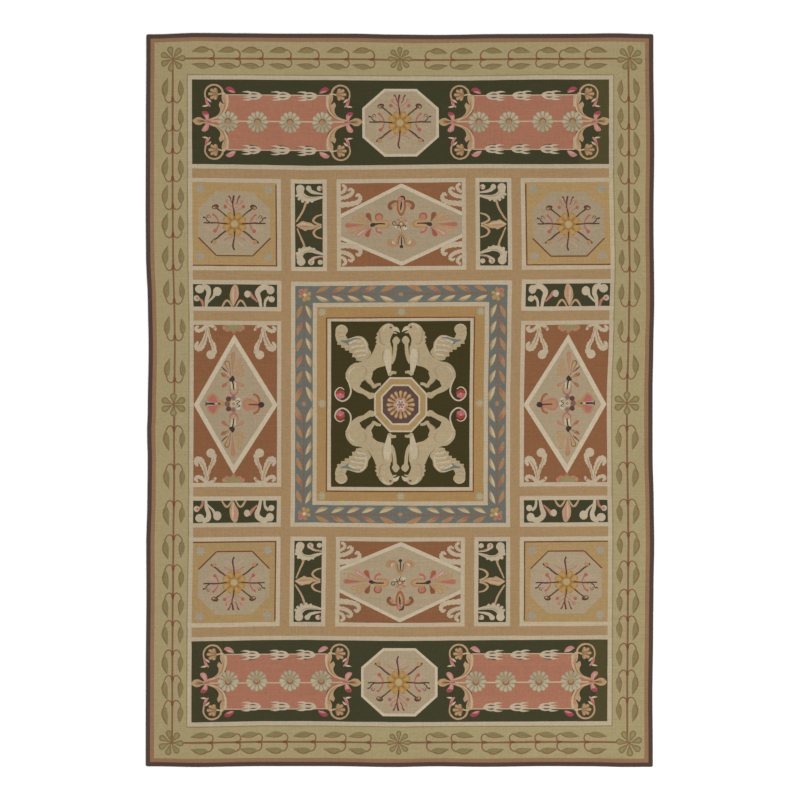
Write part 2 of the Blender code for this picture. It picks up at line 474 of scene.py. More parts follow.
CORNER_PETALS = [(105 - 51.4 * k, 13.2) for k in range(7)]
HEAD_PETALS = [(45 * k, 12.2) for k in range(8)]
SIDE_PETALS = [(90, 11.8), (26, 13.2), (-26, 13.2), (-90, 11.8), (-154, 13.2), (154, 13.2)]
for stem in (STEM_LEFT, STEM_RIGHT):
    line((stem, STEM_FOOT), (stem, STEM_HEAD), STEM_WIDTH, "stem rust")
for stem in (STEM_HEAD, STEM_FOOT):
    line((STEM_LEFT, stem), (STEM_RIGHT, stem), STEM_WIDTH, "stem rust")
for stem_x, places, middle, flip in (
    (STEM_LEFT, LEFT_SPRAYS, LEFT_FLOWER, 1), (STEM_RIGHT, RIGHT_SPRAYS, RIGHT_FLOWER, -1),
):
    for place in places:
        side_spray(Spot(stem_x, place, SQUARE * flip, SQUARE if place > middle else -SQUARE))
    vine_flower(Spot(stem_x - 0.005 * (flip > 0), middle), SIDE_PETALS, 7.0)
for stem_y, places, flip in ((STEM_HEAD, HEAD_SPRAYS, 1), (STEM_FOOT, FOOT_SPRAYS, -1)):
    for place in places:
        end_spray(Spot(place, stem_y, SQUARE, SQUARE * flip))
        end_spray(Spot(-place, stem_y, -SQUARE, SQUARE * flip))
vine_flower(Spot(0.0, STEM_HEAD + 0.005), HEAD_PETALS)
vine_flower(Spot(0.0, STEM_FOOT), HEAD_PETALS)
vine_flower(Spot(STEM_LEFT, STEM_HEAD), CORNER_PETALS, 6.6)
vine_flower(Spot(STEM_RIGHT + 0.008, STEM_HEAD + 0.003, -SQUARE, SQUARE, 0.2), CORNER_PETALS, 6.6)
vine_flower(Spot(STEM_LEFT - 0.008, STEM_FOOT, SQUARE, -SQUARE), CORNER_PETALS, 6.6)
vine_flower(Spot(STEM_RIGHT + 0.010, STEM_FOOT - 0.005, -SQUARE, -SQUARE, -0.2), CORNER_PETALS, 6.6)


# The panels of the field, each in an ivory frame on the tan lattice: its left, right, foot and head
# lines in metres from the rug's middle.
FRAME_WIDTH = 0.0225
HEAD_ROW = (1.2728, 1.7313)
FOOT_ROW = (-1.7388, -1.2998)
UPPER_SQUARES = (0.7240, 1.1760)
LOWER_SQUARES = (-1.2030, -0.7629)
UPPER_SMALL = (0.5050, 0.6261)
LOWER_SMALL = (-0.6634, -0.5423)
TALL_DIAMONDS = (-0.4461, 0.4066)
LEFT_COLUMN = (-1.1200, -0.6656)
RIGHT_COLUMN = (0.6742, 1.1290)
LEFT_NARROW = (-0.5683, -0.4190)
RIGHT_NARROW = (0.4277, 0.5775)
MIDDLE_COLUMN = (-0.3206, 0.3314)


def framed(across, along, yarn):
    """An area of ground colour, and afterwards its frame: gives back what weaves the frame."""
    left, right = across
    foot, head = along
    block(left, right, foot, head, yarn)

    def frame_bars(width=FRAME_WIDTH, bar_yarn="ivory"):
        block(left - width, right + width, head, head + width, bar_yarn)
        block(left - width, right + width, foot - width, foot, bar_yarn)
        block(left - width, left, foot, head, bar_yarn)
        block(right, right + width, foot, head, bar_yarn)

    return frame_bars


def middle_of(across, along):
    return (across[0] + across[1]) / 2, (along[0] + along[1]) / 2


# The long green panels at head and foot: a pink cartouche on each side of an octagon.
def strokes(spot, rows):
    """Works a list of thin bands, each of them (yarn, widths, points)."""
    for yarn, widths, points in rows:
        weave(spot, yarn, ribbon(points, widths))


def rosette(spot):
    """A gold flower with four branches of twigs, and four stalks with buds between them."""
    for side in (-1, 1):
        strokes(spot, (
            ("stalk dark", (1.5, 1.6, 1.5, 1.2), [(side * 5, 4.6), (side * 10.4, 9.6), (side * 16.6,
                14.6), (side * 18.6, 16.0)]),
            ("palmette tan", (0.5, 0.8, 0.4), [(side * 9, 7.4), (side * 12.6, 10.4), (side * 15.4, 12.9)]),
            ("stalk dark", (1.4, 1.5, 1.5, 1.7, 1.7), [(side * 6, -5.4), (side * 13.6, -10.6),
                (side * 17.8, -14.6), (side * 20.6, -16.2), (side * 23.6, -19.0)]),
            ("twig pink", (0.5, 0.8, 0.4), [(side * 8, -7.8), (side * 12.4, -11.2), (side * 16.4, -14.8)]),
        ))
        weave(spot, "stalk dark", disc(side * 19.0, 16.8, 3.6, 2.5, turn=-0.3 * side, sides=10))
        weave(spot, "bud brown", disc(side * 19.4, 16.2, 2.6, 1.7, turn=-0.3 * side, sides=8))
        weave(spot, "bud tan", disc(side * 20.2, 16.0, 1.2, 0.9, sides=8))
        weave(spot, "palmette tan", disc(side * 20.0, -18.2, 2.4, 2.3, sides=10))
    for angle in range(0, 360, 45):
        weave(spot, "flower brown", petal(polar(1.0, angle + 22.5), polar(12.4, angle + 22.5), 9.2))
    for angle in range(0, 360, 45):
        for lobe in (-10.5, 10.5):
            weave(spot, "flower gold", petal(polar(4.4, angle + 22.5), polar(11.9, angle + 22.5 + lobe),
                3.9))
        weave(spot, "flower light", petal(polar(5.6, angle + 22.5), polar(10.2, angle + 22.5), 1.7,
            steps=3))
    weave(spot, "flower brown", disc(0, 0, 5.0, sides=14))
    weave(spot, "flower gold", disc(0, 0, 4.2, sides=12))
    weave(spot, "heart pale", disc(0, 0, 3.2, sides=12))
    for side in (-1, 1):
        strokes(spot, (
            # The branch towards the head
            ("twig pink", (0.8, 0.8, 0.7), [(side * 0.6, 11.8), (side * 5.0, 14.6), (side * 8.4, 16.6)]),
            ("twig pink", (0.8, 0.8, 0.9, 1.1), [(0, 15.2), (side * 4.0, 18.6), (side * 7.2, 21.4),
                (side * 6.4, 23.6)]),
            ("twig pink", (0.7, 0.8, 0.8, 0.7), [(side * 6.4, 23.8), (side * 8.4, 23.4), (side * 8.2,
                21.6), (side * 6.4, 21.8)]),
            ("stalk brown", (0.9, 1.0, 1.2, 2.0), [(side * 1.4, 19.8), (side * 3.2, 22.6), (side * 3.8,
                25.4), (side * 5.6, 28.2)]),
            # The branch towards the foot
            ("twig pink", (0.8, 0.9, 1.3), [(side * 0.6, -12.4), (side * 6.2, -13.8), (side * 10.4,
                -16.6)]),
            ("blush", (0.8, 0.8, 1.3), [(side * 0.6, -16.6), (side * 5.0, -20.0), (side * 8.2, -22.6)]),
            # The side branch
            ("berry red", (1.0, 1.3, 1.5, 2.5), [(side * 15.6, 0.2), (side * 17.0, 4.6), (side * 19.4,
                8.0), (side * 21.8, 9.4)]),
            ("berry red", (1.0, 1.2, 1.4), [(side * 15.6, -0.2), (side * 16.8, -4.0), (side * 18.6, -6.4)]),
            ("blush", (0.8, 0.9, 0.6), [(side * 20, -2.2), (side * 25, -4.4), (side * 30, -4.0)]),
            ("blush", (0.8, 0.9, 0.6), [(side * 19, -3.4), (side * 23, -6.0), (side * 26, -6.6)]),
            ("stalk brown", (0.7, 0.8, 0.8, 0.7), [(side * 23.8, 6.0), (side * 25.4, 8.6), (side * 27.4,
                7.2), (side * 25.8, 5.6)]),
            ("stalk dark", (1.5, 1.3, 1.4, 1.2), [(side * 7.4, 0), (side * 18, 0.8), (side * 26, 0.6),
                (side * 31, 0.8)]),
            ("stalk brown", (0.6, 0.8, 0.6), [(side * 14, 0.9), (side * 20, 1.4), (side * 25, 1.2)]),
            ("stalk dark", (1.1, 1.1, 1.0, 1.7), [(side * 24.6, 1.2), (side * 27.4, 3.4), (side * 28.4,
                5.6), (side * 31.4, 6.4)]),
        ))
        for x, y, reach in ((9.0, 17.2, 1.9), (19.4, -7.2, 2.0)):
            weave(spot, "berry red", disc(side * x, y, reach, sides=8))
    strokes(spot, (
        ("stalk dark", (1.5, 1.4, 1.5, 1.3, 1.9), [(0, 7.6), (-0.4, 13), (-1.4, 18), (-1.6, 22), (-0.2,
            28.4)]),
        ("berry red", (0.6, 0.9, 0.6), [(-0.6, 15), (-1.0, 20), (0.2, 26)]),
        ("stalk dark", (1.5, 1.4, 1.6, 1.5), [(0, -7.4), (-0.4, -14), (-1.8, -21.6), (-0.4, -26.2)]),
        ("stalk brown", (0.6, 0.9, 0.6), [(0.2, -12), (-0.8, -18), (-1.2, -23)]),
    ))


def octagon(half_width, half_height, flat_top, flat_side):
    return [
        (-half_width, -flat_side), (-flat_top, -half_height), (flat_top, -half_height), (half_width,
            -flat_side),
        (half_width, flat_side), (flat_top, half_height), (-flat_top, half_height), (-half_width,
            flat_side),
    ]


def daisy(spot):
    """A pale flower of twelve petals with a tan eye, darker on its lower side."""
    for angle in range(0, 360, 30):
        lower = 180 < angle < 360
        weave(spot, "daisy grey" if lower else "daisy pale", petal(polar(2.4, angle), polar(10.7, angle),
            4.0))
        weave(spot, "daisy pale" if lower else "daisy light", petal(polar(5.0, angle), polar(10.0, angle),
            2.2, steps=4))
    weave(spot, "daisy grey", disc(0, 0, 5.0, sides=12))
    weave(spot, "eye brown", disc(0, 0.5, 3.4, sides=12))
    weave(spot, "daisy eye", disc(0, -0.3, 2.7, sides=12))


def flame(spot, shaded):
    """An ivory bud on the cartouche's edge, round in front, with long licks behind."""
    if shaded:
        weave(spot, "flame slot", ribbon([(-12.0, 3.4), (-7, 3.2), (-2, 4.5), (5, 3.8)], [0.5, 1.0, 1.3,
            0.6]))
    for tip, root, swing in (((-11.8, 3.6), (0, 2.4), -0.9), ((-10.6, 1.0), (0, 0.6), 0.4), ((-11.0,
        -1.4), (0, -0.8), 0.3), ((-11.4, -4.0), (0, -2.4), 0.9)):
        weave(spot, "flame ivory", leaf(root, tip, 2.1, belly=0.3, bend=swing))
    weave(spot, "flame ivory", blob([(8.8, 0), (6.4, 2.7), (1.6, 4.0), (-3.0, 3.2), (-5.4, 0), (-3.0,
        -3.2), (1.6, -4.0), (6.4, -2.7)]))
    for side in (-1, 1):
        weave(spot, "flame slot", leaf((-3.4, 1.5 * side), (4.4, 1.4 * side), 1.4, bend=0.4 * side))


def corner_scroll(spot, top):
    """The curled end of the cartouche's acanthus band: a ring with a bud in it, a tail and a petal."""
    weave(spot, "scroll tan", ribbon(
        [polar(9.1, a) for a in (-8, 25, 60, 95, 130, 165, 198, 222)], [2.2, 1.9, 1.7, 1.6, 1.6], steps=3))
    weave(spot, "petal pink", ribbon([polar(9.1, 205), (-7.8, -5.8), (-6.6, -9.6), (-3.8, -12.6)], [1.8,
        2.2, 2.8, 1.2]))
    weave(spot, "crimson", ribbon([(-8.4, -5.0), (-6.8, -8.6)], [0.7, 0.9]))
    weave(spot, "cream", leaf((-5.6, -11.8), (-12.0, -12.6), 1.8, belly=0.4))
    weave(spot, "cream", leaf((-7.0, -4.4), (-2.6, -8.4), 2.0, belly=0.5))
    weave(spot, "scroll light", ribbon([(4.2, -0.6), (7, 0.2), (11, 0.4)], [1.6, 1.3, 1.8]))
    for tip in ((0.6, 5.8), (0.6, -5.8), (-3.6, 4.6), (-3.6, -4.6), (-5.8, 0.0)):
        weave(spot, "scroll brown", petal((4.4, 0), tip, 3.6))
        weave(spot, "bud tan", petal((2.4, tip[1] * 0.3), tip, 2.4, steps=4))
    weave(spot, "scroll brown", ribbon([(-1.2, 2.4), (-0.4, 0), (-1.2, -2.4)], [0.5, 0.8, 0.5]))
    weave(spot, "crimson" if top else "petal pink", blob([(11.4, 4.6), (13.6, 7.0), (17.2, 6.8), (20.6,
        4.0), (21.4, 1.0), (18.4, 1.4), (15.0, 3.4)]))
    weave(spot, "petal pink" if top else "blush", leaf((12.6, 3.6), (21.2, 1.4), 2.2, belly=0.6, bend=0.2))


def cartouche_band(spot):
    """A quarter of the cartouche's end: the tan acanthus band that curves in from the edge to the tip."""
    weave(spot, "dark green", blob([(-51, 29), (-49.5, 18), (-52, 9), (-60, 4.2), (-70, 2.4), (-74, 10),
        (-70, 20), (-60, 29)]))
    weave(spot, "scroll tan", blob([
        (-50, 27.8), (-49, 22), (-50.2, 14), (-54.4, 7.6), (-61, 3.4), (-69, 1.4), (-69, 2.8), (-62, 5.4),
        (-58.2, 9.4), (-57.6, 13.4), (-59.0, 17), (-57.2, 20.6), (-55, 19.6), (-56.2, 24), (-55.0, 28.6),
    ]))
    weave(spot, "scroll light", ribbon([(-51.4, 27), (-50.2, 20), (-52.4, 11), (-58, 5.6), (-66, 2.4)],
        [1.8, 1.6, 1.2, 0.9, 0.7]))
    weave(spot, "scroll brown", ribbon([(-54.2, 24), (-52.8, 17), (-55.4, 9.6), (-61, 4.8)], [0.5, 1.0,
        1.1, 0.5]))
    weave(spot, "dark green", leaf((-57.4, 21.6), (-53.6, 17.6), 1.8, belly=0.3))


def end_bud(spot):
    """The tan bud at a cartouche's tip, with four petals crossed at its neck."""
    weave(spot, "bud tan", blob([(-1, 0), (2.0, 3.2), (6.4, 3.9), (10, 2.2), (14, 0.8), (14, -0.8), (10,
        -2.2), (6.4, -3.9), (2.0, -3.2)]))
    weave(spot, "scroll brown", blob([(3.4, 0), (5.4, 1.7), (9, 1.2), (13, 0.2), (9, -1.2), (5.4, -1.7)]))
    weave(spot, "flame slot", leaf((5.4, 0), (12.6, 0), 1.2))
    weave(spot, "petal pink", blob([(14.4, 0.6), (15.6, 4.0), (15.0, 8.0), (12.4, 9.8), (9.4, 9.8), (9.0,
        7.6), (11.2, 4.4), (12.8, 1.4)]))
    weave(spot, "crimson", blob([(15.0, 7.0), (13.4, 9.6), (9.6, 10.0), (8.8, 8.0), (11.6, 6.2)]))
    weave(spot, "blush", leaf((14.0, 1.4), (12.6, 7.0), 1.3))
    weave(spot, "petal pink", blob([(14.4, -0.6), (15.6, -4.2), (14.6, -8.4), (11.6, -10.4), (8.6, -9.6),
        (9.0, -7.0), (11.4, -4.0), (12.8, -1.4)]))
    weave(spot, "blush", leaf((13.8, -2.6), (11.0, -9.0), 2.2, belly=0.6))
    weave(spot, "slot rust", ribbon([(13, 0), (17.5, 0)], [1.6, 1.0]))


CARTOUCHE_MIDDLE = 0.6635
FLAMES = (-24.4, 4.6, 31.0)


def cartouche(spot, daisies, daisy_up, end_shift, far_flames, near_flames):
    """One cartouche, drawn with the rug's side to the left. The shifts are its own unevenness, in squares."""
    weave(spot, "scroll light", [(-51, -28.1), (51, -28.1), (51, 27.6), (-51, 27.6)])
    weave(spot, "pink", [(-50, -27.2), (50, -27.2), (50, 26.7), (-50, 26.7)])
    weave(spot, "pink", [(-72, -1.6), (-49, -16), (49, -16), (72, -1.6), (72, 1.6), (49, 16), (-49, 16),
        (-72, 1.6)])
    for side in (1, -1):
        for up in (-1, 1):
            quarter = spot.at(end_shift if side > 0 else 0, 0, flip=side, flip_up=up)
            cartouche_band(quarter)
            corner_scroll(quarter.at(-63.8, 28.0), up > 0)
    weave(spot, "scroll light", [(-70, 0.1), (70, 0.1), (70, 1.4), (-70, 1.4)])
    end_bud(spot.at(-84.4 + end_shift, 0.6))
    end_bud(spot.at(84.6, 0.6, flip=-1))
    for place in daisies:
        daisy(spot.at(place, daisy_up))
    for place in FLAMES:
        flame(spot.at(place + far_flames[0], far_flames[1]), shaded=False)
        flame(spot.at(place + near_flames[0], near_flames[1]), shaded=True)


OCTAGON_RIM = 2.6
for along, up, row_shift in ((HEAD_ROW, 1, 0.0), (FOOT_ROW, -1, -0.004)):
    bars = framed((FIELD_LEFT, FIELD_RIGHT), along, "dark green")
    for reach, yarn in ((0.16, "green faded"), (0.10, "green yellow")):
        block(FIELD_RIGHT - reach, FIELD_RIGHT, *along, yarn)
    row_y = middle_of((0, 0), along)[1] + row_shift
    left = Spot(-CARTOUCHE_MIDDLE, row_y, SQUARE, SQUARE * up)
    right = Spot(CARTOUCHE_MIDDLE + 0.004, row_y, -SQUARE, SQUARE * up)
    if up > 0:
        cartouche(left, (-48.7, -19.2, 13.2, 45.4), 0.2, 1.2, (1.0, 26.3), (0.0, -27.6))
        cartouche(right, (-49.0, -19.2, 14.6, 44.7), 0.2, -1.4, (-2.0, 26.6), (-0.5, -27.2))
    else:
        cartouche(left, (-47.8, -19.2, 14.1, 45.4), -0.8, 0.2, (1.0, 25.0), (0.0, -26.6))
        cartouche(right, (-48.8, -16.7, 16.6, 46.6), -0.2, 0.2, (-0.5, 25.4), (-1.4, -26.6))
    eight = Spot(0.003, row_y, SQUARE, SQUARE * up)
    weave(eight, "cream", octagon(38.2, 34.0, 16.2, 14.6))
    weave(eight, "beige", octagon(38.2 - OCTAGON_RIM, 34.0 - OCTAGON_RIM, 15.2, 13.6))
    rosette(eight.at(-0.6, 0))
    bars()


# The four square panels at the corners: a gold ground with a pale star in each corner and a beige
# octagon, drawn in dark red along the sides away from the light.
STAR_REACH = 5.4


def star(spot, yarn="star grey"):
    points = []
    for k in range(16):
        points.append(polar(STAR_REACH if k % 2 == 0 else STAR_REACH * 0.55, 22.5 * k + 22.5))
    weave(spot, yarn, points)


UPPER_HEIGHT = UPPER_SQUARES[1] - UPPER_SQUARES[0]
RED_LINE = 0.0088
# How far each octagon lies from its square's middle: upper left, upper right, lower left, lower right
OCTAGON_SHIFTS = ((-0.002, 0.005), (0.003, -0.002), (-0.002, -0.005), (0.002, -0.005))
octagon_shifts = iter(OCTAGON_SHIFTS)
for along, up in ((UPPER_SQUARES, 1), (LOWER_SQUARES, -1)):
    for across, inward in ((LEFT_COLUMN, 1), (RIGHT_COLUMN, -1)):
        bars = framed(across, along, "gold")
        x, y = middle_of(across, along)
        tall = (along[1] - along[0]) / UPPER_HEIGHT
        near, far = along if up > 0 else along[::-1]
        outer, inner = across if inward > 0 else across[::-1]
        near += 0.003 * up
        inner -= 0.003 * inward
        line((outer, near), (inner, near), RED_LINE, "fine red")
        line((inner, near - RED_LINE / 2 * up), (inner, far - 0.008 * up), RED_LINE, "fine red")
        for side in (-1, 1):
            star(Spot(x + side * 0.184 - 0.002 * inward, y + 0.189 * tall * up))
            star(Spot(x + side * 0.184 - 0.002 * inward, y - 0.174 * tall * up))
        shift_x, shift_y = next(octagon_shifts)
        eight = Spot(x + shift_x, y + shift_y, SQUARE, SQUARE * tall * up)
        outline = octagon(35.8, 32.3, 18.0, 14.2)
        weave(eight, "beige", outline)
        for start, end in zip(outline[:3], outline[1:4]):
            weave(eight, "fine red", ribbon([start, end], [1.4, 1.4]))
        rosette(eight.at(0.2, -0.4))
        bars()


# The narrow green panels beside the middle column: ivory acanthus at both ends, joined by tan stalks to
# a leaf that points at the rug's side.
def acanthus(spot, rows, yarn="ivory", frill=0.0):
    """Fronds that each end in a curl: a row is (widths, points, the curl's radius)."""
    for widths, points, radius in rows:
        weave(spot, yarn, ribbon(points, widths, frill=frill))
        weave(spot, yarn, disc(*points[-1], radius, sides=11))


def narrow_panel(spot):
    acanthus(spot, (
        ((2.0, 3.6, 5.0, 6.2, 7.0, 7.4), [(14, 28.2), (8, 27.2), (2.4, 26.4), (-3.6, 27.4), (-8.0, 31.4),
            (-8.4, 36.6)], 4.3),
        ((1.2, 2.6, 3.6, 4.4), [(14, 31.4), (7.6, 32.4), (2.6, 34.0), (0.0, 37.2)], 2.8),
        ((3.0, 3.0), [(13.4, 37.4), (10.6, 37.0)], 2.6),
        ((1.8, 3.6, 5.0, 6.0, 6.6, 7.0), [(14, -29.2), (7.0, -26.8), (1.2, -24.6), (-5.6, -25.6), (-9.4,
            -30.6), (-8.0, -36.4)], 4.4),
        ((1.4, 2.2, 3.6, 4.4), [(14, -31.4), (7.6, -32.2), (3.6, -34.2), (2.2, -36.8)], 3.2),
        ((3.0, 3.0), [(13.4, -37.4), (11.2, -37.2)], 2.6),
    ))
    for x, y, r in (
        (-11.8, 29.6, 1.5), (-9.6, 26.6, 1.7), (-6.2, 24.4, 1.7), (-1.4, 23.6, 1.8), (3.4, 24.2, 1.5),
        (-12.0, -28.4, 1.5), (-9.4, -24.8, 1.8), (-5.0, -22.8, 1.8), (0.6, -22.6, 1.5), (5.0, -23.8, 1.3),
    ):
        weave(spot, "ivory", disc(x, y, r, sides=7))
    weave(spot, "berry red", disc(12.4, 36.6, 1.1, 1.5, sides=8))
    strokes(spot, (
        ("griffin shade", (0.4, 0.9, 0.9, 0.5), [(11, 28.4), (3, 27.6), (-3, 28.6), (-6.6, 32.0)]),
        ("griffin shade", (0.4, 0.9, 0.9, 0.5), [(10, -27.4), (2.4, -25.6), (-4.4, -26.8), (-7.4, -31.4)]),
        ("berry red", (0.6, 0.8, 0.9), [(13.8, -31.6), (8, -32.6), (4.6, -34.6)]),
        ("berry red", (0.8, 0.9, 0.7), [(3.4, -35.2), (1.2, -37.4), (3.0, -38.6)]),
        ("scroll tan", (2.2, 2.0, 1.7, 1.2), [(-2.6, 23.6), (-5.6, 15.0), (-10.6, 6.4), (-12.8, 3.4)]),
        ("scroll tan", (1.2, 1.8, 2.0, 2.2), [(-11.8, -3.4), (-8.0, -12.6), (-5.6, -18.0), (-4.4, -22.4)]),
        ("scroll tan", (1.2, 1.9, 2.3, 2.0, 2.2), [(13.4, 10.8), (7.6, 9.0), (4.4, 4.8), (7.6, 1.8),
            (12.6, 0)]),
        ("scroll tan", (1.2, 1.9, 2.3, 2.0, 2.2), [(13.4, -13.6), (7.6, -11.6), (4.6, -7.8), (6.8, -4.2),
            (12.6, -1.4)]),
    ))
    weave(spot, "scroll tan", blob([
        (-13.0, -0.4), (-9.2, 2.6), (-6.0, 4.3), (-2.6, 3.2), (1.8, 2.6), (5.4, 0.4), (10.4, -0.4), (6.4,
            -2.6),
        (3.0, -4.2), (-1.2, -4.4), (-3.6, -5.7), (-6.8, -4.0), (-10.6, -2.2),
    ]))
    strokes(spot, (
        ("scroll light", (0.6, 1.5, 1.5, 0.6), [(-11.6, 0), (-7.0, 1.6), (-2, 0.9), (4, 0)]),
        ("scroll brown", (0.4, 0.8, 0.4), [(-9, -1.0), (-4, -1.2), (2, -1.6)]),
    ))


for across, flip in ((LEFT_NARROW, 1), (RIGHT_NARROW, -1)):
    for along, up in ((UPPER_SQUARES, 1), (LOWER_SQUARES, -1)):
        bars = framed(across, along, "dark green")
        x, y = middle_of(across, along)
        narrow_panel(Spot(x, y, SQUARE * flip, SQUARE * up * (along[1] - along[0]) / UPPER_HEIGHT))
        bars()


# The wide rust panels at the middle of the head and foot rows: a beige diamond with two palmettes and
# two buds round a knot, and acanthus in the corners.
def fan(spot):
    """A palmette of seven rounded rays that open to the left of a dark heart, with a looped foot."""
    for angle, reach, width, yarn, inner in (
        (142, 18.6, 4.6, "palmette tan", "bud tan"), (160, 21.8, 4.4, "palmette tan", "bud tan"), (196,
            25.0, 5.0, "palmette tan", "bud tan"),
        (214, 20.0, 4.8, "palmette pink", "blush"), (181, 28.4, 6.0, "palmette tan", "palmette rose"),
        (115, 13.4, 5.6, "palmette rust", "bud brown"), (241, 14.2, 5.8, "palmette rose", "palmette rust"),
    ):
        weave(spot, yarn, petal(polar(2.0, angle), polar(reach, angle), width))
        weave(spot, inner, petal(polar(reach * 0.3, angle), polar(reach - 0.9, angle), width - 1.8,
            steps=4))
    weave(spot, "palmette tan", blob([(3.0, 4.2), (8, 5.0), (14.4, 4.6), (17.8, 1.4), (16.6, -2.2), (12,
        -4.0), (4.6, -4.0), (2.6, -2)]))
    weave(spot, "bud tan", blob([(2.4, 2.6), (8, 3.2), (13.2, 3.0), (15.4, 0.8), (13.6, -1.6), (8, -2.2),
        (3.0, -2.2)]))
    weave(spot, "palmette rust", disc(6.2, 7.8, 4.3, 4.0, sides=12))
    weave(spot, "palmette pink", disc(6.4, 7.4, 3.0, 2.8, sides=10))
    weave(spot, "palmette tan", leaf((3.4, 4.2), (9.6, 5.0), 2.2))
    weave(spot, "cream", leaf((2.6, -3.0), (7.6, -9.2), 3.0, belly=0.7))
    weave(spot, "palmette rose", ribbon([(3.0, -2.6), (3.8, -5.6), (6.0, -7.6), (9.2, -8.2)], [1.6, 2.2,
        2.4, 2.2]))
    weave(spot, "black brown", ribbon([(0, 0.2), (6, 1.0), (12.4, 0.8)], [2.4, 1.5, 1.2]))
    weave(spot, "black brown", disc(0, 0, 3.0, 2.0, turn=0.3, sides=10))


def upper_lyre(spot):
    """A rust cup with a pink bud and two curled handles."""
    for side in (-1, 1):
        strokes(spot, (
            ("bud brown", (2.2, 3.0, 3.8, 3.6, 2.2), [(side * 3.4, 23.4), (side * 8.2, 22.8),
                (side * 11.6, 19.8), (side * 11.0, 16.6), (side * 8.8, 16.4)]),
            ("palmette rust", (0.8, 1.4, 1.6, 1.0), [(side * 5.0, 23.0), (side * 8.8, 21.8), (side * 10.8,
                19.2), (side * 10.2, 17.0)]),
            ("palmette pink", (1.0, 1.8, 1.2), [(side * 5.4, 20.2), (side * 7.6, 19.6), (side * 8.2,
                17.6)]),
        ))
    strokes(spot, (
        ("palmette rust", (2.0, 2.0, 2.2, 2.0, 2.0), [(-3.2, 24.0), (-3.6, 16.4), (-0.2, 9.4), (3.6,
            16.4), (3.4, 24.0)]),
        ("palmette tan", (1.4, 1.4, 1.4, 1.4, 1.4), [(-2.0, 23.0), (-2.2, 16.4), (-0.2, 12.0), (2.2,
            16.4), (2.0, 23.0)]),
        ("cream", (1.0, 2.0, 1.0), [(-0.2, 22.6), (-0.2, 18.0), (-0.4, 14.0)]),
        ("black brown", (1.2, 1.9, 1.2), [(0, 23.2), (-0.2, 18.6), (-0.8, 14.6)]),
        ("black brown", (1.2, 1.9, 1.6), [(-1.0, 28.6), (2.4, 27.6), (3.4, 24.4)]),
    ))
    weave(spot, "palmette rose", disc(-0.9, 25.8, 2.6, 2.4, sides=10))
    weave(spot, "petal pink", disc(-1.2, 25.8, 1.3, sides=8))


def lower_lyre(spot):
    """A tan cup turned upside down, with a black bud and two pink curls."""
    for side in (-1, 1):
        strokes(spot, (
            ("palmette tan", (2.6, 2.8, 2.8, 2.4, 1.8), [(side * 4.4, -21.0), (side * 9.8, -21.4),
                (side * 13.0, -19.0), (side * 12.4, -16.0), (side * 9.8, -15.6)]),
            ("palmette pink", (1.0, 1.8, 1.2), [(side * 7.8, -20.2), (side * 10.8, -18.8), (side * 10.2,
                -16.6)]),
            ("cream", (0.8, 2.0, 1.2), [(side * 6.8, -19.2), (side * 8.4, -18.2), (side * 9.0, -16.6)]),
        ))
    strokes(spot, (
        ("palmette tan", (2.2, 2.2, 2.4, 2.2, 2.2), [(-4.8, -20.8), (-3.4, -13.4), (-0.2, -8.6), (3.4,
            -13.4), (4.8, -20.8)]),
        ("bud brown", (0.7, 0.8, 0.8, 0.8, 0.7), [(-3.4, -19.6), (-2.2, -13.6), (-0.2, -10.8), (2.2,
            -13.6), (3.4, -19.6)]),
        ("black brown", (1.0, 1.4, 1.2), [(0, -12.4), (0, -17), (0, -22)]),
    ))
    weave(spot, "black brown", disc(0, -22.2, 1.9, 1.7, sides=8))


def middle_knot(spot):
    for x, y, r in ((-4.6, -2.4, 2.2), (3.8, -3.6, 2.2), (-0.4, -4.8, 1.6), (4.4, 1.6, 1.8)):
        weave(spot, "cream", disc(x, y, r, r * 0.8, sides=8))
    for x, y, r in ((-3.0, 4.6, 1.8), (3.8, 4.0, 2.0), (0.2, 6.4, 1.2)):
        weave(spot, "palmette pink", disc(x, y, r, r * 0.9, sides=8))
    weave(spot, "bud brown", disc(-0.2, 0.7, 2.9, 2.7, sides=10))
    weave(spot, "flower gold", disc(-0.2, 0.7, 2.0, sides=9))
    weave(spot, "cream", disc(-0.2, 0.7, 1.0, sides=7))
    strokes(spot, (
        ("black brown", (0.6, 0.8, 0.8, 0.7, 0.6), [(-5.2, 0.2), (-6.0, 2.8), (-8.4, 2.6), (-8.6, 0.2),
            (-6.2, -0.6)]),
        ("black brown", (0.7, 1.0, 0.8), [(-6.2, -0.4), (-4.2, -0.6), (-2.4, 0)]),
        ("black brown", (1.0, 0.8), [(-2.0, -0.8), (-4.8, -3.6)]),
        ("black brown", (0.9, 0.9, 0.7), [(-0.4, -1.6), (-0.8, -3.8), (0.6, -6.0)]),
        ("black brown", (0.9, 0.9, 0.7), [(1.8, -0.8), (3.6, -0.6), (4.6, -3.0)]),
        ("berry red", (0.7, 0.9), [(2.2, 1.0), (5.2, 1.6)]),
    ))


CORNER_FRONDS = (
    ((5.8, 5.2, 4.6, 4.0, 3.4, 2.2), [(-1, -21.6), (9.6, -20.8), (17.2, -18.6), (19.6, -14.8), (17.4,
        -11.4), (15.6, -12.6)], 1.3),
    ((3.8, 4.2, 4.0, 3.6, 2.8, 1.8), [(-1, -14.8), (5.2, -13.6), (9.8, -11.2), (12.0, -8.0), (9.8, -5.6),
        (7.8, -6.8)], 1.2),
    ((3.0, 3.4, 3.2, 2.6), [(0, -10.0), (3.6, -7.2), (4.6, -4.0), (2.4, -2.0)], 1.6),
)



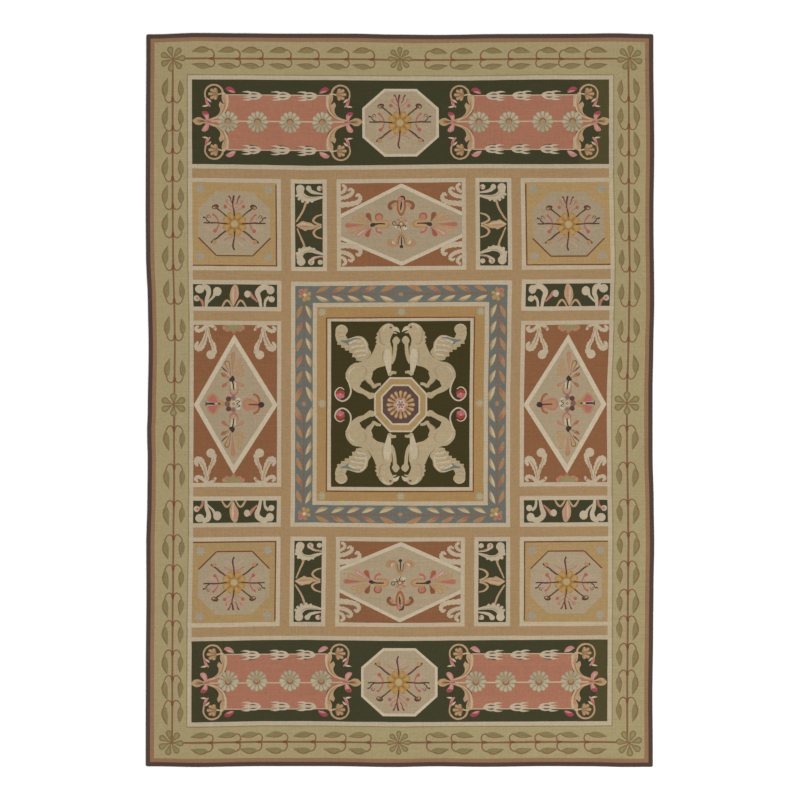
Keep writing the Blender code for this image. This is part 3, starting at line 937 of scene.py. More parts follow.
for along, up in ((UPPER_SQUARES, 1), (LOWER_SQUARES, -1)):
    bars = framed(MIDDLE_COLUMN, along, "rust")
    x, y = middle_of(MIDDLE_COLUMN, along)
    panel = Spot(x, y, SQUARE, SQUARE * up * (along[1] - along[0]) / UPPER_HEIGHT)
    half_w, half_h = 60.4, 41.8
    weave(panel, "cream", [(-half_w, -15.0), (-1, -41.0), (1, -41.0), (half_w, -13.8),
                           (half_w, 12.1), (1, 40.8), (-1, 40.8), (-half_w, 11.1)])
    weave(panel, "beige", [(-half_w, -11.2), (-1, -36.9), (1, -36.9), (half_w, -10.0),
                           (half_w, 8.4), (1, 36.8), (-1, 36.8), (-half_w, 7.4)])
    fan(panel.at(-28.6, 0.0))
    fan(panel.at(28.0, 0.2, flip=-1))
    upper_lyre(panel)
    lower_lyre(panel)
    middle_knot(panel)
    for side in (-1, 1):
        for corner_up in (-1, 1):
            corner = panel.at(half_w * side, half_h * corner_up, flip=-side, flip_up=corner_up)
            acanthus(corner, CORNER_FRONDS, frill=0.7)
    bars()


# The small green panels above and below the tall ones: two pairs of ivory fronds with a leaf and two
# tan tendrils between them.
def small_panel(spot):
    weave(spot, "ivory", ribbon([(-29.4, -12), (-28.6, -4), (-26.4, 2), (-27.6, 7.4), (-33, 9.0)], [2.6,
        3.8, 4.6, 5.4, 5.0]))
    weave(spot, "ivory", disc(-35.4, 6.2, 4.6, 4.2))
    weave(spot, "ivory", ribbon([(-27.6, -7), (-22, -1.4), (-19.4, 4.0)], [1.6, 2.4, 4.2]))
    weave(spot, "ivory", disc(-17.8, 4.0, 4.2, 4.6))
    weave(spot, "palmette pink", ribbon([(-32.2, -12), (-33.4, -6), (-37, -2.8)], [2.0, 2.8, 2.2]))
    weave(spot, "ivory", disc(-38.6, -3.0, 3.0, sides=10))
    weave(spot, "palmette pink", disc(-38.0, -3.0, 1.5, sides=8))
    weave(spot, "ivory", ribbon([(26.0, -12), (24.4, -4), (22.4, 3.4), (28, 8.6), (34, 7.6)], [2.6, 3.8,
        5.4, 5.6, 4.6]))
    weave(spot, "ivory", disc(35.4, 5.8, 4.0, 4.4))
    weave(spot, "ivory", ribbon([(29.6, -12), (30.4, -5), (34, -1.0)], [2.2, 2.6, 3.0]))
    weave(spot, "ivory", disc(36.6, -3.4, 3.2, sides=10))
    weave(spot, "palmette pink", ribbon([(22.4, -6.4), (17.4, -1.2), (13.8, 3.4)], [1.2, 3.0, 4.0]))
    weave(spot, "ivory", disc(12.2, 1.6, 3.2, 3.6, sides=10))
    weave(spot, "scroll tan", blob([(-1.6, -11), (-5.2, -3), (-4.6, 5), (-2.4, 9.0), (0.0, 11.0), (2.4,
        9.4), (3.6, 4), (3.4, -1), (0.8, -6)]))
    weave(spot, "scroll light", leaf((-1.6, -10), (-2.2, 9), 2.2, belly=0.5))
    weave(spot, "petal pink", leaf((-1.0, -10), (0.8, 10), 2.0, belly=0.6))
    for side in (-1, 1):
        weave(spot, "scroll tan", ribbon([(side * 1.6 - 1.2, -11.5), (side * 5.6 - 1.2, -5.4),
            (side * 8.8 - 1.2, -6.0), (side * 12.4 - 1.2, -12)], [1.4, 2.0, 2.2, 1.6]))


for across, flip in ((LEFT_COLUMN, 1), (RIGHT_COLUMN, -1)):
    for along, up in ((UPPER_SMALL, 1), (LOWER_SMALL, -1)):
        bars = framed(across, along, "dark green")
        x, y = middle_of(across, along)
        small_panel(Spot(x, y, SQUARE * flip, SQUARE * up))
        bars()


# The tall rust panels at the sides: a beige diamond with palmettes and a flower, fronds in the corners.
TALL_FRONDS = (
    ((2.2, 3.4, 5.4, 6.6, 5.4, 3.6, 2.6), [(13.3, 0.5), (12.8, -8), (10.5, -16.5), (7.2, -22.6), (3.8,
        -23.8), (2.4, -20.4), (3.8, -18.0)], 1.4),
    ((1.8, 3.4, 4.8, 5.0), [(13.9, -1.5), (16.4, -14), (20.0, -21), (20.6, -27)], 3.0),
    ((4.0, 4.0), [(18.6, -29.6), (17.4, -30)], 4.6),
    ((2.6, 3.6, 3.8, 3.2, 2.4), [(13.0, 0.5), (9, -4.6), (4.2, -6.2), (2.0, -3.8), (4.0, -2.0)], 1.2),
    ((2.4, 3.2, 2.6), [(14.5, -0.4), (19.6, -1.8), (22.2, -4.8)], 1.3),
)


def tall_corner(spot):
    """Fronds that hang from a tall panel's end into its corner, drawn from that corner."""
    acanthus(spot, TALL_FRONDS, frill=0.6)
    strokes(spot, (
        ("scroll brown", (0.4, 0.7, 0.7, 0.4), [(13.4, -3), (12.4, -10), (9.8, -17.6), (6.4, -22)]),
        ("scroll brown", (0.4, 0.6, 0.4), [(14.2, -4), (17.2, -15), (20.2, -24)]),
    ))
    weave(spot, "palmette pink", disc(20.6, -3.4, 1.2, sides=7))


def half_flower(spot):
    for x, y, radius, yarn in (
        (-9.0, -2.6, 2.4, "palmette tan"), (9.0, -2.4, 2.4, "palmette tan"), (0.4, -6.6, 2.4,
            "palmette rose"),
        (-6.0, -3.2, 3.6, "palmette pink"), (6.0, -3.2, 3.6, "palmette pink"), (-5.6, -2.4, 2.8,
            "leaf light"), (5.4, -2.2, 2.8, "leaf light"),
        (-0.2, -2.4, 4.4, "leaf light"),
    ):
        weave(spot, yarn, disc(x, y, radius, sides=9))


def upright_fan(spot):
    """The palmette at the head of a tall diamond."""
    for tip, width, yarn, inner in (
        ((-6.1, 18.6), 5.2, "bud brown", "bud tan"), ((-9.0, 13.2), 3.4, "blush", "bud tan"), ((8.8,
            20.6), 3.4, "palmette tan", "bud tan"),
        ((10.4, 14.6), 3.0, "palmette tan", "bud tan"), ((11.9, 9.6), 2.8, "palmette tan", "bud tan"),
            ((11.9, 5.0), 2.8, "palmette tan", "bud tan"),
        ((1.1, 27.4), 4.8, "palmette pink", "palmette tan"), ((-10.6, 5.2), 3.6, "palmette rust",
            "palmette tan"),
        ((-10.0, -7.4), 3.4, "palmette rust", "palmette tan"), ((12.0, -7.2), 3.6, "palmette pink",
            "palmette tan"),
    ):
        weave(spot, yarn, petal((tip[0] * 0.14, tip[1] * 0.14), tip, width))
        weave(spot, inner, petal((tip[0] * 0.2, tip[1] * 0.2), (tip[0] * 0.93, tip[1] * 0.95),
            width - 1.7, steps=4))
    strokes(spot, (
        ("stalk dark", (1.0, 1.2, 0.8), [(-10.4, 12.6), (-7.6, 9.6), (-4.4, 7.0)]),
        ("palmette rust", (1.2, 1.4, 0.8), [(-11.0, 6.0), (-9.0, 3.8), (-6.0, 4.6)]),
        ("berry red", (1.2, 1.4, 0.8), [(-10.4, -8.0), (-7.6, -6.4), (-5.6, -4.2)]),
        ("palmette tan", (1.6, 1.8, 1.6), [(-1.5, -4.4), (-2.2, -8.0), (-2.0, -11.4)]),
        ("palmette tan", (1.6, 1.8, 1.6), [(4.6, -4.6), (5.4, -8.0), (6.0, -11.0)]),
        ("palmette rose", (1.0, 1.7, 1.8, 1.7, 1.0), [(-2.6, -10.6), (-1.0, -14.2), (1.8, -15.6), (4.4,
            -14.2), (6.4, -10.4)]),
        ("cream", (2.4, 2.4), [(-0.6, -2.6), (0.2, -9.6)]),
        ("cream", (1.6, 1.6), [(3.0, -3.6), (3.2, -9.6)]),
        ("black brown", (1.8, 1.4, 1.2), [(0.2, 0), (1.0, -5), (1.6, -10.2)]),
    ))
    weave(spot, "black brown", blob([(0.2, 3.8), (2.8, 0.2), (1.0, -2.4), (-1.2, -2.2), (-3.2, -0.4)]))


def tall_middle(spot):
    """The flower in a tall diamond's middle, the fan on its left and the cup on its right."""
    weave(spot, "palmette tan", blob([(-14.0, 3.6), (-10.6, 3.0), (-8.8, 0), (-10.6, -3.2), (-14.0, -3.6),
        (-15.4, 0)]))
    weave(spot, "bud mauve", disc(-6.2, 0, 2.8, 3.2, sides=10))
    for up in (-1, 1):
        weave(spot, "maroon", disc(-5.0, up * 5.0, 2.8, 2.6, sides=10))
        weave(spot, "mauve", disc(-0.2, up * 6.2, 2.4, 2.6, sides=9))
        weave(spot, "cream", disc(4.8, up * 3.9, 2.4, 2.2, sides=9))
        weave(spot, "palmette tan", blob([(-13.4, up * 1.4), (-14.4, up * 4.6), (-17.0, up * 8.2), (-20.3,
            up * 11.2), (-25.6, up * 8.0), (-26.6, up * 2.4)]))
        weave(spot, "palmette rose", blob([(-16.4, up * 1.6), (-18.2, up * 6.2), (-20.3, up * 9.0),
            (-24.0, up * 6.6), (-24.8, up * 2.2)]))
        weave(spot, "palmette rust", ribbon([(20.0, up * 9.8), (23.4, up * 7.6), (25.6, up * 4.4), (26.2,
            up * 1.6)], [2.2, 3.4, 2.8, 1.6]))
        weave(spot, "palmette tan", ribbon([(20.6, up * 8.8), (23.2, up * 6.6), (24.6, up * 4.0)], [0.8,
            1.4, 0.8]))
    weave(spot, "cream", disc(6.2, 0, 2.2, 2.6, sides=8))
    weave(spot, "palmette tan", blob([(11.6, 3.0), (15, 4.2), (20, 2.8), (25, 1.0), (25, -2.6), (20,
        -4.0), (15, -5.2), (11.6, -4.2), (10.4, -0.5)]))
    strokes(spot, (
        ("palmette pink", (1.2, 1.8, 2.0, 2.0, 2.0, 2.0, 2.0, 1.8, 1.2), [
            (25.0, 1.6), (20, 3.4), (15, 4.8), (11.2, 3.4), (9.8, -0.5), (11.2, -4.6), (15, -5.8), (20,
                -4.6), (25.0, -3.2)]),
        ("stalk brown", (1.4, 1.8, 2.0), [(15.0, -0.7), (20, -0.8), (25, -0.9)]),
        ("black brown", (1.4, 2.2, 2.2, 1.6), [(-28.2, 0), (-22, 0.1), (-17, 0.1), (-13.6, 0)]),
        ("black brown", (1.0, 1.0), [(-27.8, 2.2), (-27.8, -2.2)]),
        ("black brown", (0.6, 0.9, 0.7, 0.9, 0.6), [(3.0, 3.6), (6.4, 2.4), (3.6, 0), (6.4, -2.2), (3.0,
            -3.4)]),
    ))
    weave(spot, "cream", disc(-17.4, 0.1, 2.0, 0.8, sides=8))
    weave(spot, "cream", disc(0, 0, 2.9, sides=10))
    weave(spot, "daisy eye", disc(0, 0, 2.0, sides=9))
    weave(spot, "black brown", disc(28.0, -1.0, 3.2, 3.0, sides=11))


for across, flip in ((LEFT_COLUMN, 1), (RIGHT_COLUMN, -1)):
    bars = framed(across, TALL_DIAMONDS, "rust")
    x, y = middle_of(across, TALL_DIAMONDS)
    panel = Spot(x, y, SQUARE * flip)
    weave(panel, "cream", [(-41.8, -1.0), (-1.6, -70.2), (42.6, -1.0), (-1.2, 69.6)])
    weave(panel, "beige", [(-36.4, -1.0), (-1.6, -61.6), (37.6, -1.0), (-1.0, 61.2)])
    upright_fan(panel.at(-3.2, 24.6))
    upright_fan(panel.at(-3.2, -25.2, flip_up=-1))
    tall_middle(panel.at(-1.8, 0))
    for up in (-1, 1):
        half_flower(panel.at(-1.7, 78.8 * up, flip_up=up))
        for side in (-1, 1):
            tall_corner(panel.at(-42.0 * side, 79.2 * up, flip=side, flip_up=up))
    bars()


# The middle panel: a blue laurel band and a gold band with stars, each between ivory lines, round a
# green field with an octagonal medallion and four griffins.
CENTRE = (0.003, -0.0190)
CENTRE_LINES = (
    ("ivory", -0.5905, 0.5995, -0.6867, 0.6440),
    ("blue", -0.5675, 0.5770, -0.6640, 0.6210),
    ("ivory", -0.4730, 0.4790, -0.5680, 0.5295),
    ("band gold", -0.4505, 0.4560, -0.5455, 0.5065),
    ("fine red", -0.4010, 0.4035, -0.4960, 0.4510),
    ("ivory", -0.3935, 0.3965, -0.4885, 0.4440),
    ("field green", -0.3735, 0.3790, -0.4690, 0.4285),
)
for yarn, left, right, foot, head in CENTRE_LINES:
    block(left, right, foot, head, yarn)

# Where each pair of laurel leaves starts, in squares from the corner: along an end, and along a side
END_LAUREL = (12.4, 28.5, 44.1, 59.2, 76.8)
SIDE_LAUREL = (11.4, 27.8, 44.2, 60.6, 77.0, 93.4)


def laurel_pair(spot, tint):
    """Two leaves on the laurel's stem, rust on the outer side and cream to gold on the inner one."""
    weave(spot, "laurel rust", leaf((-0.8, 1.6), (13.0, 7.0), 4.4, belly=0.5, bend=0.8))
    weave(spot, tint, leaf((-0.4, 1.8), (6.6, 4.6), 2.4, belly=0.4, bend=0.4))
    weave(spot, "laurel gold", leaf((-1.4, -1.6), (12.4, -6.8), 4.6, belly=0.5, bend=-0.9))
    weave(spot, "laurel cream", leaf((-1.0, -1.8), (10.6, -5.6), 2.6, belly=0.45, bend=-0.4))


def laurel_run(spot, length, places):
    """A stem with laurel that points away from the corner, from the corner to the side's middle."""
    weave(spot, "stem rust", ribbon([(0, 0), (length, 0)], [1.2, 1.2]))
    for k, place in enumerate(places):
        last = 1.15 if k == len(places) - 1 else 1.0
        laurel_pair(spot.at(place, 0, size=last), "laurel red" if k % 2 else "laurel rust")


def corner_flower(spot):
    for angle, reach, width, yarn in (
        (135, 7.6, 5.4, "palmette pink"), (78, 6.8, 3.8, "laurel rust"), (195, 6.8, 3.8, "laurel rust"),
        (15, 6.6, 3.8, "laurel gold"), (-45, 7.2, 4.6, "flower gold"), (-98, 6.8, 3.8, "flower gold"),
    ):
        weave(spot, yarn, petal((0, 0), polar(reach, angle), width))
    weave(spot, "berry red", leaf(polar(2, 135), polar(7, 140), 2.0))
    weave(spot, "cream", disc(0, 0, 1.7, sides=8))


band_left, band_right = (-0.5675 - 0.4730) / 2, (0.5770 + 0.4790) / 2
band_foot, band_head = (-0.6640 - 0.5680) / 2, (0.6210 + 0.5245) / 2
half_across = (band_right - band_left) / 2 / SQUARE
half_along = (band_head - band_foot) / 2 / SQUARE
for side, x in ((1, band_left), (-1, band_right)):
    for up, y in ((1, band_head), (-1, band_foot)):
        laurel_run(Spot(x + 0.002, y + 0.004 * up, SQUARE * side, SQUARE * up), half_across, END_LAUREL)
        run_down = Spot(x, y)
        run_down.right, run_down.up = (0.0, -SQUARE * up), (-SQUARE * side, 0.0)
        laurel_run(run_down, half_along, SIDE_LAUREL)
        corner_flower(Spot(x + 0.004 * side, y, SQUARE * side, SQUARE * up))
for side, x in ((1, band_left), (-1, band_right)):
    weave(Spot(x, CENTRE[1]), "laurel rust", disc(0, 0, 2.0, 2.6, sides=8))
for y in (band_foot, band_head):
    weave(Spot(CENTRE[0], y), "laurel rust", disc(0, 0, 2.6, 2.0, sides=8))

gold_left, gold_right = (-0.4505 - 0.4010) / 2, (0.4560 + 0.4035) / 2
gold_foot, gold_head = (-0.5455 - 0.4960) / 2, (0.5020 + 0.4510) / 2
for x in (gold_left, CENTRE[0], gold_right):
    for y in (gold_foot, CENTRE[1], gold_head):
        if x != CENTRE[0] or y != CENTRE[1]:
            star(Spot(x + 0.004, y + 0.002, SQUARE * 0.9, SQUARE * 0.9), "star pale")


def griffin(spot):
    """A seated griffin with one foreleg raised, built up from its limbs, facing the panel's middle."""
    coat, light, shade = "griffin", "griffin light", "griffin shade"
    # Tail with the rose in its ring
    weave(spot, "cream", ribbon(
        [(-54.5, 27), (-51.8, 21.4), (-49.9, 15), (-50.2, 9.6), (-53.6, 4.6), (-58.6, 2.6), (-63.8, 5.4),
         (-65.8, 10.4), (-63.6, 14.8), (-59.6, 16.2), (-56.4, 14.0)],
        [1.9, 1.7, 1.6, 1.6, 1.5, 1.5, 1.4, 1.3, 1.2, 1.0, 0.8], steps=3))
    for angle, yarn in ((80, "rose red"), (140, "rose red"), (20, "crimson"), (205, "rose pink"), (265,
        "rose pink"), (320, "rose pink")):
        weave(spot, yarn, disc(*polar(2.9, angle, -60.4, 9.6), 2.0, sides=8))
    weave(spot, "flower light", disc(-60.4, 9.6, 1.2, sides=8))
    # Hind legs, the far one first
    weave(spot, shade, ribbon([(-32, 32), (-32.4, 24.6), (-28.4, 19.8), (-26.2, 15.8)], [9.0, 6.0, 4.0,
        3.4]))
    weave(spot, coat, ribbon([(-31.6, 31), (-31.6, 24.8), (-28.0, 19.8), (-26.0, 16.4)], [8.0, 5.0, 3.0,
        2.4]))
    weave(spot, coat, ribbon([(-26.8, 16.6), (-23.4, 19.0), (-19.6, 19.6)], [3.2, 3.2, 2.4]))
    weave(spot, coat, ribbon([(-45, 30), (-45.2, 21), (-43.4, 15.2), (-36.4, 11.6), (-30.6, 8.2)], [17.0,
        12.0, 6.4, 4.6, 5.4]))
    weave(spot, coat, disc(-29.4, 8.0, 4.2, 3.2, turn=0.3, sides=10))
    # Body from the haunch to the chest
    weave(spot, coat, blob([
        (-54.8, 26.4), (-54.4, 32.4), (-51.0, 37.6), (-46.4, 40.8), (-40.6, 41.8), (-33, 45.4), (-28.6,
            50.6),
        (-26.2, 55.6), (-23.0, 60.6), (-9.8, 58.6), (-8.6, 49.6), (-9.2, 41.6), (-15.2, 38.2), (-23.4,
            35.8),
        (-28.6, 31.6), (-34.6, 25.2), (-41.6, 20.6), (-49.6, 20.8),
    ]))
    weave(spot, shade, ribbon([(-37.4, 26.0), (-34.4, 30.6), (-35.2, 35.6), (-39.6, 38.6)], [0.8, 1.2,
        1.0, 0.5]))
    weave(spot, light, ribbon([(-46, 36.8), (-50.4, 33.4), (-52.2, 28.6)], [0.8, 1.6, 0.8]))
    # Raised foreleg
    weave(spot, coat, ribbon([(-9.8, 40.4), (-7.2, 45.4), (-5.8, 52.4), (-5.4, 60.2)], [4.2, 3.8, 3.6,
        4.0]))
    weave(spot, coat, blob([(-7.8, 60.6), (-8.2, 64.0), (-4.6, 67.6), (-0.8, 64.2), (-1.6, 61.0), (-4.8,
        58.8)]))
    # Standing foreleg
    weave(spot, light, ribbon([(-13.4, 55), (-13.0, 46), (-12.2, 38), (-10.8, 28.4)], [5.0, 8.0, 6.0, 3.0]))
    weave(spot, shade, ribbon([(-16.2, 55.6), (-18.2, 48.4), (-17.4, 41.4)], [0.7, 1.2, 0.7]))
    weave(spot, coat, ribbon([(-11.6, 28.6), (-8.2, 31.2), (-4.2, 31.0)], [3.4, 3.4, 2.4]))
    # Wing, with feathers laid in rows and a curled tip
    weave(spot, coat, blob([
        (-36.4, 43.0), (-29.4, 50.4), (-32.2, 56.0), (-33.2, 61.6), (-38.6, 67.4), (-45.0, 67.8), (-52.8,
            65.4),
        (-55.6, 68.6), (-64.6, 66.2), (-62.6, 61.6), (-57.8, 57.2), (-54.0, 54.4), (-49.6, 52.6), (-46.8,
            47.6), (-41.6, 42.8),
    ]))
    weave(spot, coat, ribbon([(-59, 63.6), (-60.2, 68.6), (-60.0, 73.2)], [9.6, 10.4, 10.0]))
    weave(spot, coat, disc(-59.2, 74.0, 6.2, 5.6, sides=14))
    for x, y, reach in ((-62.6, 61.0, 4.4), (-58.6, 58.0, 4.4), (-54.8, 55.2, 4.2), (-50.6, 52.8, 4.4),
        (-47.6, 48.4, 4.4), (-43.6, 44.8, 4.0)):
        weave(spot, coat, leaf((x + 5.6, y + 3.6), (x - 1.0, y - 1.4), reach, belly=0.6))
        weave(spot, shade, ribbon([(x + 5.0, y + 2.2), (x + 0.6, y - 0.4)], [0.7, 0.5]))
    for row, (x, y) in enumerate(((-50.0, 60.6), (-46.0, 62.4), (-41.4, 62.0), (-47.4, 56.6), (-42.8,
        57.6), (-38.2, 57.8),
                                  (-44.0, 52.4), (-39.4, 53.0), (-35.2, 53.0), (-41.0, 47.8), (-36.4,
                                      48.4))):
        weave(spot, light, leaf((x + 2.6, y + 1.4), (x - 3.0, y - 0.6), 2.6, belly=0.55, bend=0.4))
        weave(spot, shade, ribbon([(x + 2.4, y - 0.2), (x - 2.8, y - 1.8)], [0.5, 0.8]))
    weave(spot, light, ribbon([(-33.8, 51.2), (-34.6, 58.6), (-37.4, 64.6), (-44.0, 66.6), (-51, 65.4)],
        [1.4, 1.6, 1.8, 1.2, 0.7]))
    weave(spot, "feather blue", ribbon([(-60.0, 63.4), (-54.6, 62.4), (-50.2, 64.2), (-45.6, 65.6),
        (-40.4, 65.6)], [1.0, 3.2, 1.6, 1.4, 0.8]))
    weave(spot, "feather blue", leaf((-54.6, 62.0), (-51.4, 58.6), 1.8))
    weave(spot, shade, ribbon([(-64.0, 73.0), (-60.8, 70.8), (-56.4, 71.6)], [0.5, 0.9, 0.5]))
    weave(spot, shade, ribbon([(-64.2, 69.6), (-60.4, 67.4), (-55.4, 68.4)], [0.5, 0.9, 0.5]))
    weave(spot, light, ribbon([(-63.8, 76.4), (-59.6, 79.0), (-54.8, 76.6)], [0.8, 1.2, 0.8]))
    # Neck, mane and head
    weave(spot, coat, blob([(-23.6, 59.4), (-24.0, 65.4), (-22.8, 70.8), (-20.6, 75.6), (-16.4, 79.4),
        (-11.6, 80.6), (-7.4, 79.0),
                            (-6.2, 75.6), (-7.2, 71.4), (-9.6, 66.8), (-10.6, 62.6), (-9.8, 58.0), (-16,
                                54.0)]))
    for x, y in ((-23.2, 70.6), (-24.4, 66.6), (-24.0, 62.6)):
        weave(spot, coat, leaf((x + 2.4, y + 1.4), (x - 1.0, y - 1.4), 2.4, belly=0.5))
    weave(spot, shade, ribbon([(-20.8, 73.6), (-21.0, 66.4), (-19.2, 60.4), (-14.6, 59.4)], [0.8, 1.4,
        1.6, 0.6]))
    weave(spot, light, ribbon([(-10.8, 79.6), (-15.6, 77.8), (-17.8, 72.6)], [0.8, 1.8, 0.8]))
    weave(spot, "griffin light", blob([(-7.0, 76.8), (-4.6, 77.0), (-2.4, 75.4), (-0.7, 71.4), (-2.6,
        72.2), (-5.6, 73.2), (-7.8, 72.8)]))
    weave(spot, coat, blob([(-7.8, 72.4), (-5.0, 71.8), (-3.4, 70.4), (-5.6, 70.2), (-7.8, 70.8)]))
    weave(spot, "stalk dark", ribbon([(-7.6, 72.6), (-4.6, 72.4), (-2.2, 71.2)], [0.4, 0.6, 0.4]))
    weave(spot, "eye red", disc(-9.8, 76.3, 1.3, 1.1, sides=8))


for side in (1, -1):
    for up in (1, -1):
        place_x = CENTRE[0] + (0.0 if side > 0 else 0.002)
        if up > 0:
            griffin(Spot(place_x, CENTRE[1] + (0.0005 if side > 0 else 0.003), SQUARE * side, SQUARE))
        else:
            griffin(Spot(place_x, CENTRE[1] - (0.010 if side > 0 else 0.0085), SQUARE * side,
                -SQUARE * 0.985))

medallion = Spot(CENTRE[0] + 0.0015, CENTRE[1] - 0.0045)
for yarn, outline in (
    ("cream", octagon(26.8, 27.5, 11.2, 10.8)), ("gold", octagon(25.0, 25.7, 10.4, 10.1)),
    ("cream", octagon(19.7, 20.4, 8.4, 8.4)), ("plum", octagon(18.0, 18.6, 7.7, 7.7)),
):
    weave(medallion, yarn, outline)
for k in range(16):
    weave(medallion, "laurel rust", petal(polar(3.0, 22.5 * k), polar(14.4, 22.5 * k), 3.7))
for k in range(16):
    weave(medallion, "laurel gold", petal(polar(6.6, 22.5 * k), polar(14.2, 22.5 * k), 2.9))
    weave(medallion, "laurel cream", petal(polar(9.0, 22.5 * k + 1.5), polar(13.6, 22.5 * k + 1.5), 1.2,
        steps=3))
weave(medallion, "palmette tan", disc(0, 0, 7.2, sides=16))
for k in range(12):
    weave(medallion, "palmette pink" if k % 2 else "blush", disc(*polar(5.6, 30 * k), 1.7, sides=8))
weave(medallion, "cream", disc(0, 0, 4.6, sides=12))
for k in range(6):
    weave(medallion, "feather blue", disc(*polar(2.9, 60 * k), 1.1, sides=7))
weave(medallion, "berry red", disc(0, 0, 1.9, sides=8))


# The face and back of the cloth are cut up along the outlines of all these areas, so no area overlaps
# another, and each piece of the face has the yarn of the topmost area there.
def signed_area(points):
    return sum(ax * by - bx * ay for (ax, ay), (bx, by) in zip(points, points[1:] + points[:1])) / 2


def linear(hex_colour):
    """A colour as the screen shows it, in linear light."""
    channels = [int(hex_colour[k:k + 2], 16) / 255 for k in (0, 2, 4)]
    return [c / 12.92 if c <= 0.04045 else ((c + 0.055) / 1.055) ** 2.4 for c in channels]


YARN_SPREAD = 0.035
MERGE_DISTANCE = 0.00002
# Areas smaller than this, in square metres, aren't drawn on the back, which lies on the floor.
BACK_AREA = 0.0006
rug_outline = (
    [(x, y) for x, y in FOOT_EDGE] + [(x, y) for y, x in RIGHT_EDGE[1:-1]]
    + [(x, y) for x, y in reversed(HEAD_EDGE)] + [(x, y) for y, x in reversed(LEFT_EDGE[1:-1])]
)
outlines = [("guard brown", rug_outline)]
for yarn, outline in weave_shapes[1:]:
    settled = [settle(point) for point in outline]
    if abs(signed_area(settled)) > 1e-7:
        outlines.append((yarn, settled if signed_area(settled) > 0 else settled[::-1]))

spread = random.Random(7)
shades = []
for yarn, _ in outlines:
    tint = 1 + spread.uniform(-YARN_SPREAD, YARN_SPREAD)
    shades.append([channel * tint for channel in linear(YARNS[yarn])])


def cut_up(chosen):
    """Cuts the rug into triangles along the chosen outlines. Each triangle has its topmost outline's number."""
    corners, rings = [], []
    for number in chosen:
        outline = outlines[number][1]
        rings.append(list(range(len(corners), len(corners) + len(outline))))
        corners += [Vector(point) for point in outline]
    points, _, parts, _, _, owners = delaunay_2d_cdt(corners, [], rings, 1, MERGE_DISTANCE, True)
    on_cloth = [k for k, owner in enumerate(owners) if 0 in owner]
    return (
        np.array([tuple(point) for point in points]),
        np.array([parts[k] for k in on_cloth]),
        np.array([chosen[max(owners[k])] for k in on_cloth]),
    )


face_points, face_parts, face_yarns = cut_up(range(len(outlines)))
back_points, back_parts, back_yarns = cut_up([
    k for k, (yarn, outline) in enumerate(outlines) if k == 0 or signed_area(outline) > BACK_AREA
])

# The cloth's cut side joins the rims of the face and the back, which are the same line.
count = len(face_points)
edge_pairs = np.concatenate([face_parts[:, [0, 1]], face_parts[:, [1, 2]], face_parts[:, [2, 0]]])
there = set(map(tuple, edge_pairs))
rim = np.array([(a, b) for a, b in there if (b, a) not in there])
below = {tuple(np.round(point, 6)): k for k, point in enumerate(back_points)}
rim_below = np.array([[below[tuple(np.round(face_points[k], 6))] for k in pair] for pair in rim]) + count
sides = np.concatenate([
    np.stack([rim_below[:, 0], rim_below[:, 1], rim[:, 1]], axis=1),
    np.stack([rim_below[:, 0], rim[:, 1], rim[:, 0]], axis=1),
])
all_points = np.concatenate([
    np.column_stack([face_points, np.full(count, RUG_FACE)]),
    np.column_stack([back_points, np.zeros(len(back_points))]),
])
all_parts = np.concatenate([face_parts, back_parts[:, ::-1] + count, sides])
all_yarns = np.concatenate([face_yarns, back_yarns, np.zeros(len(sides), dtype=int)])

woven_mesh = bpy.data.meshes.new("woven_face")
woven_mesh.from_pydata(all_points.tolist(), [], all_parts.tolist())
colours = np.array([[*shade, 1.0] for shade in shades])
corner_colours = np.repeat(colours[all_yarns], 3, axis=0)
woven_mesh.color_attributes.new("yarn", "FLOAT_COLOR", "CORNER")
woven_mesh.color_attributes["yarn"].data.foreach_set("color", corner_colours.ravel())
corner_points = all_points[all_parts.ravel()]
flat_map = woven_mesh.uv_layers.new(name="OFBake")
flat_map.data.foreach_set("uv", np.column_stack([
    corner_points[:, 0] / (2 * CLOTH_HALF_WIDTH + 0.03) + 0.5,
    corner_points[:, 1] / (2 * CLOTH_HALF_LENGTH + 0.03) + 0.5,
]).ravel())
woven_face = bpy.data.objects.new("woven_face", woven_mesh)
bpy.context.scene.collection.objects.link(woven_face)


class Wire:
    """A socket in a material's nodes. Sums written with it add the nodes that work them out."""

    def __init__(self, tree, socket=None):
        self.tree = tree
        self.socket = socket

    def node(self, kind, settings, sockets, output=0):
        made = self.tree.nodes.new(kind)
        for name, value in settings.items():
            setattr(made, name, value)
        for name, value in sockets.items():
            if isinstance(value, Wire):
                self.tree.links.new(value.socket, made.inputs[name])
            else:
                made.inputs[name].default_value = value
        return Wire(self.tree, made.outputs[output])

    def sum(self, operation, first, second):
        return self.node("ShaderNodeMath", {"operation": operation}, {0: first, 1: second})

    def __add__(self, other):
        return self.sum("ADD", self, other)

    def __sub__(self, other):
        return self.sum("SUBTRACT", self, other)

    def __rsub__(self, other):
        return self.sum("SUBTRACT", other, self)

    def __mul__(self, other):
        return self.sum("MULTIPLY", self, other)

    __radd__ = __add__
    __rmul__ = __mul__

    def noise(self, place, scale, detail=2.0):
        return self.node("ShaderNodeTexNoise", {}, {"Vector": place, "Scale": scale, "Detail": detail},
            "Fac")

    def stretched(self, place, stretch):
        return self.node("ShaderNodeVectorMath", {"operation": "MULTIPLY"}, {0: place, 1: stretch})

    def dimmed(self, colour, factor):
        return self.node("ShaderNodeVectorMath", {"operation": "SCALE"}, {0: colour, "Scale": factor})


def wool_material(name):
    material = bpy.data.materials.new(name)
    material.use_nodes = True
    shader = material.node_tree.nodes["Principled BSDF"]
    shader.inputs["Roughness"].default_value = 0.92
    shader.inputs["Specular IOR Level"].default_value = 0.15
    return material, shader, Wire(material.node_tree)


